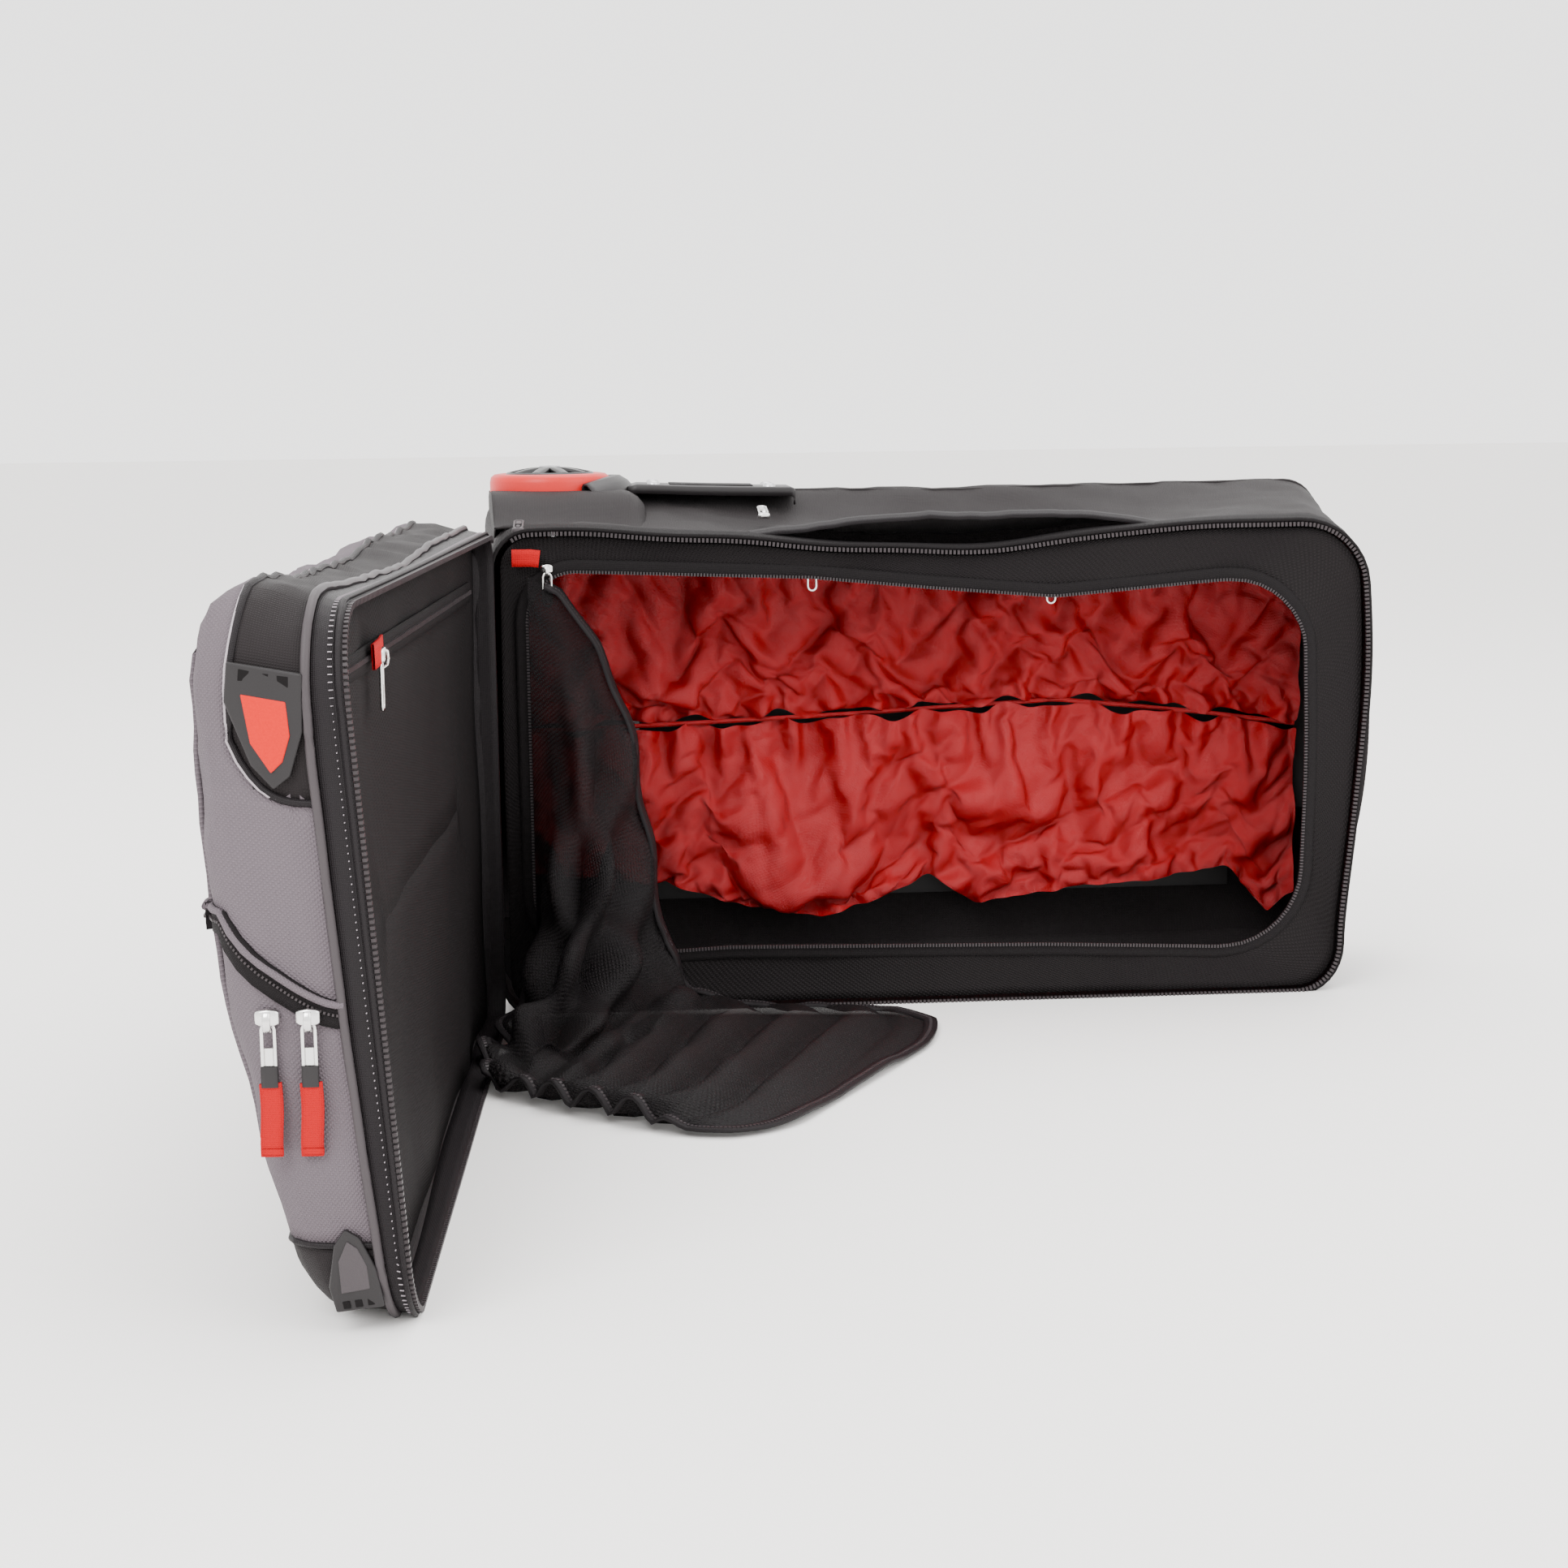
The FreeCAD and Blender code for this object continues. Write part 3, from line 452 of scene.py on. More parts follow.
def window(grow=0.0, y=-66.0):
    ring = loop(WIN["x0"] - grow, WIN["x1"] + grow, WIN["z0"] - grow, WIN["z1"] + grow,
                np.array([56.0, 60, 62, 40]) + grow)
    P = np.insert(ring, 1, y, axis=1)
    P[:, 2] += np.interp(P[:, 0], drop_x, drop_z) * ease(P[:, 2], 230, 350)
    P[:, 2] += np.interp(P[:, 0], [-331, -170, 100, 246, 313], [0, 7, 2, -4, 0]) * (1 - ease(P[:, 2], 60,
                            150))
    P[:, 0] += 3 * bump(P[:, 2], 200, 90) * ease(P[:, 0], 200, 313)
    return P


outer_ring = settle(tub(-66.0, 4.2))
win_ring = window()
panel = np.stack([outer_ring * (1 - s) + win_ring * s for s in np.linspace(0, 1, 8)], 1)
panel[..., 1] = -66 + ripple(panel, 110, 1.6, 23) + 1.5 * np.sin(math.pi * np.linspace(0, 1, 8))
grid("divider_skin", panel, MESH_SOLID, closed=True, thick=0.8, flip=True, replaces=["divider_frame"])
tape = np.stack([window(g, -67.6 + 0.4 * (g > 9)) for g in (0.0, 3.0, 8.0, 11.0)], 1)
grid("window_tape", tape, TAPE, closed=True, thick=1.0, flip=True, replaces=["divider_binding"])
teeth("window_chain", window(1.0, -69.4), TEETH, (0, -1, 0), closed=True, pitch=2.6, size_=(1.4, 2.6, 1.8))

# ---- liner --------------------------------------------------------------------------------
slit_x = [-345, -303, -181, -52, 130, 260, 345]
slit_z = [222, 222, 226, 231, 240, 226, 214]


def curtain(low, high, seed, gather_low, gather_high):
    n, m = 190, 46
    x = np.linspace(-347, 347, n)
    s = np.linspace(0, 1, m)
    X = np.repeat(x[:, None], m, 1)
    Z = low(x)[:, None] * (1 - s) + high(x)[:, None] * s
    rng = np.random.default_rng(seed)
    pleat = sum(np.sin(X / w * 2 * math.pi + rng.uniform(0, 6)) * a
                for w, a in ((33, 0.9), (21, 0.6), (47, 0.8)))
    pull_ = gather_low * (1 - s) ** 5 + gather_high * s ** 5
    Y = 64 + 4 * pull_ * pleat
    P = np.stack([X, Y, Z], -1)
    P[..., 1] += ripple(P, 120, 6.0, seed + 1) + ripple(P, 70, 5.0, seed + 2, sharp=True)
    P[..., 1] = np.minimum(P[..., 1], 80)
    return P


gather = lambda x: 3.0 * np.sin(x / 11.0) + 2.0 * np.sin(x / 6.3 + 1)
slit = lambda x: np.interp(x, slit_x, slit_z)
hem_x = [-345, -220, -150, -82, -30, 17, 57, 100, 146, 210, 287, 321, 345]
hem_z = [96, 84, 60, 49, 66, 85, 57, 62, 71, 76, 86, 44, 60]
upper = curtain(lambda x: slit(x) + 3 + gather(x), lambda x: 0 * x + 372, 31, 1.0, 0.25)
lower = curtain(lambda x: np.interp(x, hem_x, hem_z), lambda x: slit(x) - 3 + gather(x), 41, 0.8, 1.0)
upper = settle(upper)
lower[..., 1] -= 3


def relax(obj, pinned, frames, grow, y_range):
    """Let slack cloth buckle into folds; pinned(points in mm) picks what is sewn down."""
    scene = bpy.context.scene
    co = np.array([v.co for v in obj.data.vertices]) / MM
    group = obj.vertex_groups.new(name="pin")
    for i, w in enumerate(pinned(co)):
        if w > 0:
            group.add([i], float(w), "REPLACE")
    mod = obj.modifiers.new("cloth", "CLOTH")
    mod.settings.quality, mod.settings.mass = 5, 0.12
    mod.settings.tension_stiffness = mod.settings.compression_stiffness = 12
    mod.settings.shear_stiffness, mod.settings.bending_stiffness = 5, 2.5
    mod.settings.effector_weights.gravity = 0.3
    mod.settings.vertex_group_mass = "pin"
    mod.settings.shrink_min = -grow
    mod.collision_settings.use_collision = False
    mod.point_cache.frame_start, mod.point_cache.frame_end = 1, frames
    for frame_number in range(1, frames + 1):
        scene.frame_set(frame_number)
    held = obj.evaluated_get(bpy.context.evaluated_depsgraph_get()).to_mesh()
    moved = np.array([v.co for v in held.vertices]) / MM
    obj.to_mesh_clear()
    obj.modifiers.remove(mod)
    obj.vertex_groups.clear()
    step = moved - co
    step *= np.minimum(1, 30 / np.maximum(np.linalg.norm(step, axis=1), 1e-6))[:, None]
    moved = co + step
    moved[:, 1] = np.clip(moved[:, 1], *y_range)
    obj.data.vertices.foreach_set("co", (moved * MM).astype(np.float32).ravel())
    obj.data.update()
    scene.frame_set(1)


def edge_pins(co, P):
    """Sewn along both ends and the outer long edge, loosely held along the drawcord."""
    n = P.shape[:2]
    w = np.zeros(n)
    w[:2], w[-2:] = 1, 1
    w[:, :1], w[:, -1:] = 1, 1
    rng = np.random.default_rng(int(P[0, 0, 2]))
    for i, j in zip(rng.integers(8, n[0] - 8, 14), rng.integers(8, n[1] - 8, 14)):
        w[i:i + 2, j:j + 2] = 1
    return w.reshape(-1)


for name, P, old, tall in (("liner_upper_cloth", upper, "liner_upper", 372 - 228),
                           ("liner_lower_cloth", lower, "liner_lower", 228 - 68)):
    cloth = grid(name, P, RED, flip=True, replaces=[old])
    relax(cloth, lambda co, P=P: edge_pins(co, P), 22, 0.17, y_range=(30, 80))
    fine = cloth.modifiers.new("fine", "SUBSURF")
    fine.levels = fine.render_levels = 1
tube("liner_drawcord", [[x, 60.0, z] for x, z in zip(np.linspace(-345, 345, 60), slit(np.linspace(-345,
     345, 60)))],
     2.2, RED, sides=6)

# ---- mesh door ----------------------------------------------------------------------------
def along(points, s):
    points = np.asarray(points, float)
    d = np.concatenate([[0], np.cumsum(np.linalg.norm(np.diff(points, axis=0), axis=1))])
    return np.stack([np.interp(s, d / d[-1], points[:, k]) for k in range(3)], -1)


top_edge = [(-331, -72, 366), (-305, -74, 352), (-281, -76, 312), (-262, -78, 255), (-248, -80, 190),
            (-238, -82, 120), (-228, -85, 60), (-205, -92, 18), (-150, -100, 5), (-80, -108, 4), (-37,
                                    -112, 3),
            (-8, -140, 3), (-2, -176, 3)]
low_edge = [(-331, -72, 46), (-338, -110, 22), (-348, -170, 6), (-358, -250, 3), (-350, -318, 3),
            (-304, -366, 3), (-230, -424, 3), (-188, -446, 3), (-169, -454, 3)]
nu, nv = 120, 64
DOOR_LONG, DOOR_WIDE, DOOR_ROUND = 640.0, 318.0, 62.0
su, sv = np.linspace(0, 1, nu), np.linspace(0, 1, nv)
from_middle = np.clip((np.abs(sv - 0.5) * DOOR_WIDE - (DOOR_WIDE / 2 - DOOR_ROUND)) / DOOR_ROUND, 0, 1)
reach = 1 - DOOR_ROUND / DOOR_LONG * (1 - np.sqrt(1 - from_middle ** 2))
door = np.stack([along(low_edge, su * r) * (1 - v) + along(top_edge, su * r) * v
                 for v, r in zip(sv, reach)], 1)
hang = np.sin(math.pi * sv)[None, :] * (1 - ease(su, 0.45, 0.7))[:, None] * ease(su, 0, 0.25)[:, None]
door[..., 1] -= 30 * hang
door[..., 2] -= 26 * hang
lying = ease(su, 0.5, 0.66)[:, None]
door[..., 2] += 16 * bump(su[:, None], 0.57 + 0.05 * sv[None, :], 0.035) * np.sin(math.pi * sv)[None, :]
door[..., 2] += lying * (5 * bump(sv[None, :], 0.62, 0.10) * bump(su[:, None], 0.72, 0.14))
door[..., 2] += lying * 4 * bump(sv[None, :], 0.28, 0.07) * bump(su[:, None], 0.80, 0.16)
door[..., 0] += (1 - lying) * ripple(door, 170, 3.0, 53) * ease(su, 0.03, 0.2)[:, None]
door[..., 1] += (1 - lying) * ripple(door, 120, 2.4, 54) * ease(su, 0.03, 0.2)[:, None]
door_normal = unit(np.cross(np.gradient(door, axis=0), np.gradient(door, axis=1)))


def buckle(length_now, length_cut, waves):
    """Height of sine folds that take a line of one length up to its cut length."""
    spare = np.clip(length_cut / np.maximum(length_now, 1.0) - 1, 0, 0.5)
    return length_now / waves / (2 * math.pi) * np.sqrt(4 * spare)


def run_length(P, axis):
    return np.linalg.norm(np.diff(P, axis=axis), axis=-1).sum(axis)


PLEATS, WAVES = 4, 6
pleat_high = buckle(run_length(door, 1), DOOR_WIDE, PLEATS)[:, None] * ease(su, 0.0, 0.10)[:, None]
wave_high = buckle(run_length(door, 0), DOOR_LONG * reach, WAVES)[None, :] * ease(su, 0.05, 0.3)[:, None]
wave_high = wave_high * (1 - ease(su, 0.88, 1.0))[:, None]
drift = 0.35 * np.sin(5 * su)[:, None]
folds = pleat_high * np.sin(2 * math.pi * (PLEATS * sv[None, :] + drift))
folds = folds + wave_high * np.sin(2 * math.pi * (WAVES * su[:, None] + 0.6 * sv[None, :]))
folds = folds * (1 - lying) + (np.abs(folds) * 1.4) * lying
door = door + np.where(door_normal[..., 2:] < 0, -door_normal, door_normal) * folds[..., None]
door[..., 2] = np.maximum(door[..., 2], 2.6 + ripple(door, 90, 1.4, 51) + 1.2)
door_piece = grid("door_cloth", door, MESH)
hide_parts("mesh_door")
free_edge = np.concatenate([door[3:, 0], door[-1, 1:-1], door[3:, -1][::-1]])
free_edge = resample(free_edge, 6)
door_lip = ribbon("door_binding", free_edge + [0, 0, 0.8], 11, 2.2, BINDING,
                  up=np.stack([0.9 * ease(free_edge[:, 2], 10, 90),
                               -0.35 * ease(free_edge[:, 2], 10, 90), 1 - 0.8 * ease(free_edge[:, 2], 10,
                                                       90)], -1))
door_teeth = teeth("door_chain", free_edge + [0, 0, 2.0], TEETH, (0, 0, 1), pitch=3.0, size_=(1.6, 2.6,
                   1.2))

# ---- lid ----------------------------------------------------------------------------------
HINGE = np.array([-HALF - 0.5, RIM_Y - 0.15, 0.0])
SWING = math.radians(-93)
LID_Y, LID_DEEP, MESH_BACK = RIM_Y - 0.3, 92.0, 17.0
TOP_SEAM, LOW_SEAM = 297.0, 50.0


def swung(P, lean=0.07):
    """Closed-lid points to where they are with the lid open, leaning out at the top."""
    P = np.array(P, float)
    reach = np.clip((P[..., 0] + HALF) / 715, 0, 1.05)
    P[..., 1] -= lean * (P[..., 2] - 150) * reach
    d = P - HINGE
    c, s = math.cos(SWING), math.sin(SWING)
    return np.stack([HINGE[0] + c * d[..., 0] - s * d[..., 1], HINGE[1] + s * d[..., 0] + c * d[..., 1],
                     P[..., 2]], -1)


def swung_dir(v):
    c, s = math.cos(SWING), math.sin(SWING)
    return np.array([c * v[0] - s * v[1], s * v[0] + c * v[1], v[2]])


def seam_at(depth):
    """Height of the seam under the black corner piece, curving up towards the lid's face."""
    return TOP_SEAM + 34 * np.clip((depth - 20) / 45, 0, 1) ** 3.5


def lid_ring(depth, inset=0.0):
    t = depth / LID_DEEP
    ring = loop(-HALF + 4 * t + inset, HALF - 4 * t - inset, 2 * t + inset, 400 + 12 * t - inset,
                RADII - inset * 0.8, stops=(LOW_SEAM, seam_at(depth)))
    return np.insert(ring, 1, LID_Y - depth, axis=1)


BOW_Z = [0, 53, 159, 227, 320, 362, 404, 425]
BOW_K = [0.60, 0.72, 0.91, 0.96, 1.0, 0.95, 0.80, 0.62]


def puff(P):
    """The lid's padded sides: bowed across the width, swelling a little between seams."""
    P = np.array(P, float)
    t = np.clip((LID_Y - P[..., 1]) / LID_DEEP, 0, 1.1)
    end_share = 0.35 + 0.65 * ease(P[..., 0], 0, 250)
    k = 1 - (1 - np.interp(P[..., 2], BOW_Z, BOW_K)) * end_share
    P[..., 1] = LID_Y - (LID_Y - P[..., 1]) * k
    swell = np.sin(math.pi * np.clip(t, 0, 1)) * 4
    side = ease(np.abs(P[..., 0]), 320, 350)
    top = ease(P[..., 2], 340, 400)
    P[..., 0] += np.sign(P[..., 0]) * side * swell * 0.5
    P[..., 2] += top * (swell * 1.2 + 3 * bump(P[..., 0], 330, 90) * t)
    P[..., 2] -= top * 10 * bump(P[..., 0], 60, 210) * np.sin(math.pi * np.clip(t, 0, 1))
    wave = ripple(P, 130, 1.6, 61) + ripple(P, 60, 1.5, 62, stretch=(1, 1, 0.5), sharp=True)
    P[..., 0] += side * wave * np.sign(P[..., 0]) * ease(t, 0.1, 0.35)
    P[..., 2] += top * wave * 1.3 * ease(t, 0.1, 0.35)
    P[..., 1] -= ease(t, 0.75, 1.0) * wave * 1.4
    P[..., 2] = np.maximum(P[..., 2], 0.5)
    return P


ROUND = 27.0
lid_rows = [(d, 0.0) for d in np.linspace(20, LID_DEEP - ROUND, 10)]
lid_rows += [(LID_DEEP - ROUND + ROUND * math.sin(a), ROUND * (1 - math.cos(a)))
             for a in np.radians([15, 30, 45, 60, 75, 90])]
walls = np.stack([lid_ring(d, i) for d, i in lid_rows], 1)
face_ring = lid_ring(LID_DEEP, ROUND)
top_z, low_z = face_ring[:, 2].max(), face_ring[:, 2].min()
zs = np.concatenate([np.linspace(low_z, LOW_SEAM, 4)[:-1], np.linspace(LOW_SEAM, TOP_SEAM, 18)[:-1],
                     np.linspace(TOP_SEAM, top_z, 8)])


def chord(z):
    left, right = face_ring[face_ring[:, 0] < 0], face_ring[face_ring[:, 0] > 0]
    left, right = left[np.argsort(left[:, 2])], right[np.argsort(right[:, 2])]
    return np.interp(z, left[:, 2], left[:, 0]), np.interp(z, right[:, 2], right[:, 0])


front = np.stack([np.stack([np.linspace(*chord(z), 60), np.full(60, LID_Y - LID_DEEP), np.full(60, z)], -1)
                  for z in zs], 1)
front[..., 1] -= 5 * np.sin(math.pi * np.clip((front[..., 0] + 335) / 670, 0, 1)) * np.sin(
    math.pi * (front[..., 2] - low_z) / (top_z - low_z))
corner_row = 10
face_z = front[:, :, 2]
wall_z = walls[:, :, 2]
wall_seam = np.array([seam_at(d) if k < corner_row else 1e4 for k, (d, _) in enumerate(lid_rows)])


def quads(values, closed):
    n = values.shape[0]
    I, J = np.meshgrid(np.arange(n if closed else n - 1), np.arange(values.shape[1] - 1), indexing="ij")
    return (values[I, J] + values[(I + 1) % n, J] + values[(I + 1) % n, J + 1] + values[I,
            J + 1]).reshape(-1) / 4


wz, fz = quads(wall_z, True), quads(face_z, False)
ws = quads(np.broadcast_to(wall_seam, wall_z.shape), True)
open_walls, open_front = swung(puff(walls)), swung(puff(front))
SKINS = [("lid_shoulder_top", open_walls, True, wz > ws, NYLON, ["lid_shoulder_upper"]),
         ("lid_shoulder_base", open_walls, True, wz < LOW_SEAM, NYLON, ["lid_shoulder_lower"]),
         ("lid_grey_walls", open_walls, True, (wz >= LOW_SEAM) & (wz <= ws), GREY,
          ["lid_end_panel", "lid_foot_panel"]),
         ("lid_grey_face", open_front, False, fz >= LOW_SEAM, GREY, ["lid_front_panel"]),
         ("lid_base_face", open_front, False, fz < LOW_SEAM, NYLON, [])]
for name, P, closed, chosen, mat, old in SKINS:
    grid(name, P, mat, closed=closed, keep=lambda c, k=chosen: k, thick=3, flip=not closed, body="lid",
         replaces=old)

lid_band = np.stack([lid_ring(d, -1.0) for d in (0, 6, 13, 20)], 1)
grid("lid_rim_band", swung(puff(lid_band)), BINDING, closed=True, thick=3, body="lid",
     replaces=["lid_zip_tape", "lid_hinge_tape"])
lid_edge = lid_ring(0, 0.5)
teeth("lid_chain", swung(puff(at_y(lid_edge, LID_Y + 1.4)))[OPEN_RUN], TEETH, swung_dir((0, 1, 0)),
      body="lid")


def end_column(run, height):
    """The lid wall's points nearest a height on one end, from rim to face; height may vary by row."""
    height = np.broadcast_to(height, walls.shape[1])
    return np.array([walls[run, j][np.abs(walls[run, j, 2] - height[j]).argmin()]
                     for j in range(walls.shape[1])])


def tidy(line):
    step = np.linalg.norm(np.diff(line, axis=0), axis=1)
    return line[np.concatenate([[True], step > 0.5])]


low_line = tidy(np.concatenate([end_column(HEAD_RUN, LOW_SEAM), front[::-1, np.abs(zs - LOW_SEAM).argmin()],
                                end_column(FOOT_RUN, LOW_SEAM)[::-1]]))
tube("lid_piping_lower", swung(puff(low_line)), 2.0, BINDING, body="lid")
patch = end_column(HEAD_RUN, [seam_at(d) for d, _ in lid_rows])[:corner_row]
k0 = 64 + int(np.abs(walls[HEAD_RUN, corner_row - 1, 2] - patch[-1, 2]).argmin())
k1 = 172 + int(np.abs(walls[FOOT_RUN, corner_row - 1, 2] - patch[-1, 2]).argmin())
rear = end_column(FOOT_RUN, [seam_at(d) for d, _ in lid_rows])[:corner_row][::-1]
seam_line = tidy(np.concatenate([patch, walls[k0:k1 + 1, corner_row - 1], rear]))
seam_open = swung(puff(seam_line))
tube("lid_corner_piping", seam_open, 2.3, BINDING, body="lid")
tube("lid_corner_edge", seam_open + swung_dir((0.9, -1.6, 0)), 1.1, PIPING, sides=6, body="lid")
rim_bead = lid_ring(21.0, -2.0)[OPEN_RUN]
rim_bead = swung(puff(rim_bead))
tube("lid_rim_bead", rim_bead, 2.6, GREY_PLASTIC_AND_HIGHLIGHT, body="lid")
rim_cord = swung(puff(lid_ring(2.5, -2.2)))[OPEN_RUN]
tube("lid_rim_cord", rim_cord, 1.6, BINDING, body="lid")
inner_chain = swung(puff(lid_ring(7.0, -1.6)))[OPEN_RUN]
teeth("lid_stitches", inner_chain, PIPING, (0, 0, 1), body="lid", pitch=4.2, size_=(0.5, 2.4, 0.5))

# Outer pocket zip: a dark welt that drops from the lid's face to the rim on the end panel.
zip_h = [181 + 50 * np.clip((d + i - 24) / 68, 0, 1) ** 1.5 for d, i in lid_rows]
end_zip = end_column(HEAD_RUN, zip_h)
end_zip[:, 2] = zip_h
face_zip = np.stack([np.linspace(330, -330, 60), np.full(60, LID_Y - LID_DEEP - 3.0), np.full(60,
                    zip_h[-1])], -1)
zip_line = tidy(np.concatenate([end_zip, face_zip]))
zip_open = swung(puff(zip_line))
_, zip_side, _ = path_frames(zip_open, False, (0, 0, 1))
zip_out = np.where((zip_side @ swung_dir((1, -1, 0)))[:, None] > 0, zip_side, -zip_side)
ribbon("pocket_welt", zip_open + zip_out * 1.0, 15, 3.0, TAPE, up=zip_out, body="lid",
       replaces=["lid_pocket_zip"])
teeth("pocket_coil", zip_open + zip_out * 2.9, TEETH, (0, 0, 1), body="lid", pitch=2.4, size_=(1.2, 2.2,
      1.4))
tube("pocket_fold", zip_open + zip_out * 2.6 + np.array([0, 0, 5.6]), 2.2, GREY, body="lid")

mesh_ring = lid_ring(MESH_BACK, 3.2)
mid = np.stack([np.clip(mesh_ring[:, 0], -200, 200), mesh_ring[:, 1], np.full(len(mesh_ring), 200.0)], -1)
cover = np.stack([mesh_ring * (1 - s) + mid * s for s in np.linspace(0, 1, 10)], 1)
cover[..., 1] += -3 * np.sin(math.pi * np.linspace(0, 1, 10)) + ripple(cover, 140, 1.8, 71)
grid("lid_mesh_cover", swung(cover), MESH_SOLID, closed=True, thick=0.8, flip=True, body="lid",
     replaces=["lid_mesh_panel"])
zx = np.linspace(-320, 335, 60)
zline = np.stack([zx, np.full(60, LID_Y - MESH_BACK + 1.0), np.full(60, 357.0)], -1)
ribbon("lid_mesh_tape", swung(zline), 16, 1.6, TAPE, up=swung_dir((0, 1, 0)), body="lid",
       replaces=["lid_mesh_zip"])
teeth("lid_mesh_chain", swung(zline + [0, 1.4, 0]), TEETH, swung_dir((0, 1, 0)), body="lid", pitch=2.6,
      size_=(1.4, 3.0, 1.6))

# ---- zip sliders and pulls ----------------------------------------------------------------
def oblong(length, width, n=10, y0=0.0):
    """Closed stadium outline in XY from y0 down to y0 - length."""
    r = width / 2
    a = np.linspace(0, math.pi, n)
    top = np.stack([r * np.cos(a), y0 - r + r * np.sin(a)], -1)
    low = np.stack([-r * np.cos(a), y0 - length + r - r * np.sin(a)], -1)
    return np.concatenate([top, low])


class Axes:
    """Local to row frame: X along the chain, Z off the face, Y across."""
    def __init__(self, base, chain, off, lid=False):
        x, z = unit(chain), unit(off)
        self.m = np.stack([x, np.cross(z, x), z])
        self.base, self.lid = np.asarray(base, float), lid

    def __call__(self, pts):
        P = np.asarray(pts, float) @ self.m + self.base
        return swung(P, lean=0) if self.lid else P

    def dir(self, v):
        d = np.asarray(v, float) @ self.m
        return swung_dir(d) if self.lid else d


PIN_Y, PIN_Z = -5.75, 3.0


def zip_slider(name, at, mat, body, sized=1.0):
    xs = np.array([-5, -4.6, -3, 0, 3, 4.6, 5.0]) * sized
    wide = np.array([1.6, 2.6, 3.2, 3.7, 3.3, 2.8, 1.6]) * sized
    tall = np.array([1.4, 2.0, 2.3, 2.4, 2.3, 2.0, 1.4]) * sized
    a = np.linspace(0, 2 * math.pi, 21)
    square = lambda t: np.sign(t) * np.abs(t) ** 0.45
    body_ = np.stack([np.stack([np.full(21, x), w * square(np.cos(a)), h + h * 0.98 * square(np.sin(a))],
                     -1)
                      for x, w, h in zip(xs, wide, tall)])
    body_ = np.concatenate([body_[:1] * [1, 0.1, 1], body_, body_[-1:] * [1, 0.1, 1]])
    grid(name + "_shell", at(body_), mat, body=body, replaces=[name])
    arch = np.array([(0, 2.6, 3.6), (0, 1.6, 5.4), (0, -1.5, 5.8), (0, -4.4, 5.2), (0, -5.6, 3.4)]) * sized
    ribbon(name + "_bridge", at(arch), 3.0 * sized, 1.1, mat, up=at.dir((0, 0, 1)), body=body)


def wire_pull(name, at, mat, body, length, width=7.0, blade=True, z=PIN_Z, y=PIN_Y):
    ring = oblong(length, width, y0=y + 2.2)
    loop_ = np.insert(ring, 2, z, axis=1)
    objs = [ribbon(name + "_ring", at(loop_), 1.7, 1.9, mat, closed=True, up=at.dir((0, 0, 1)), body=body,
                   replaces=[name])]
    if blade:
        spine_ = np.stack([np.zeros(6), np.linspace(y - length * 0.42, y - length + 4.4, 6), np.full(6,
                          z)], -1)
        objs.append(ribbon(name + "_blade", at(spine_), width - 1.6, 1.3, mat, up=at.dir((0, 0, 1)),
                    body=body))
    return objs


T_UP = np.array([0, -30, 180]) / math.hypot(30, 180)
X_, Y_, _ = np.eye(3)
ZIPS = {
    "outer_slider_a": (Axes((HALF + 0.8, LID_Y - 62, 181), Y_, X_, True), NICKEL, 27),
    "outer_slider_b": (Axes((HALF + 0.8, LID_Y - 40, 181), Y_, X_, True), NICKEL, 27),
    "door_slider": (Axes((-315, RIM_Y + 1, 372), X_, -Y_), NICKEL, 27),
    "mesh_slider": (Axes((HALF - 190, LID_Y - 15.7 - 8, 357), -X_, Y_, True), NICKEL, 30),
    "rim_slider": (Axes((HALF - 5, LID_Y - 6, 62), -Y_, -X_, True), NICKEL, 28),
    "main_slider": (Axes((-HALF + 20, RIM_Y + 4, 401.2), -X_, T_UP), GREY_PLASTIC_AND_HIGHLIGHT, 28),
    "side_slider": (Axes((-134, -26, 408.1), -X_, T_UP), NICKEL, 28),
    "window_ring_a": (Axes((-97, RIM_Y + 16, 366), X_, -Y_), NICKEL, 13),
    "window_ring_b": (Axes((103, RIM_Y + 16, 352), X_, -Y_), NICKEL, 13),
}
for name, (at, mat, length) in ZIPS.items():
    ring_body = "case" if name.startswith("window") else name
    zip_slider(name, at, mat, ring_body, 1.35 if name.startswith(("outer", "mesh")) else 1.0)
    pull_name = name.replace("slider", "pull").replace("ring", "pull")
    wire_pull(pull_name, at, mat, pull_name, length, blade=length > 20)
    if name.startswith("outer"):
        y0 = PIN_Y - length + 3
        neck = np.array([(0, y0 + 2.5, PIN_Z), (0, y0 - 3, PIN_Z + 0.6), (0, y0 - 9, PIN_Z)])
        ribbon(pull_name + "_neck", at(neck), 9, 3.2, PLASTIC, up=at.dir((0, 0, 1)), body=pull_name)
        drop = np.linspace(0, 1, 12)
        tail = np.stack([0.6 * np.sin(drop * 5), y0 - 7 - 41 * drop,
                        PIN_Z - 0.5 + 1.1 * np.sin(drop * 3.1)], -1)
        ribbon(pull_name + "_tail", at(tail), 12, 2.4, WEB, up=at.dir((0, 0, 1)), body=pull_name)
        hem = np.array([(0, y0 - 43.5, PIN_Z + 0.9), (0, y0 - 46.6, PIN_Z + 0.9)])
        ribbon(pull_name + "_hem", at(hem), 11.6, 1.6, WEB, up=at.dir((0, 0, 1)), body=pull_name)


# ---- webbing tabs and the head strap ------------------------------------------------------
def strap_loop(name, pts, width, thick, mat, up, **more):
    return ribbon(name, pts, width, thick, mat, up=up, **more)


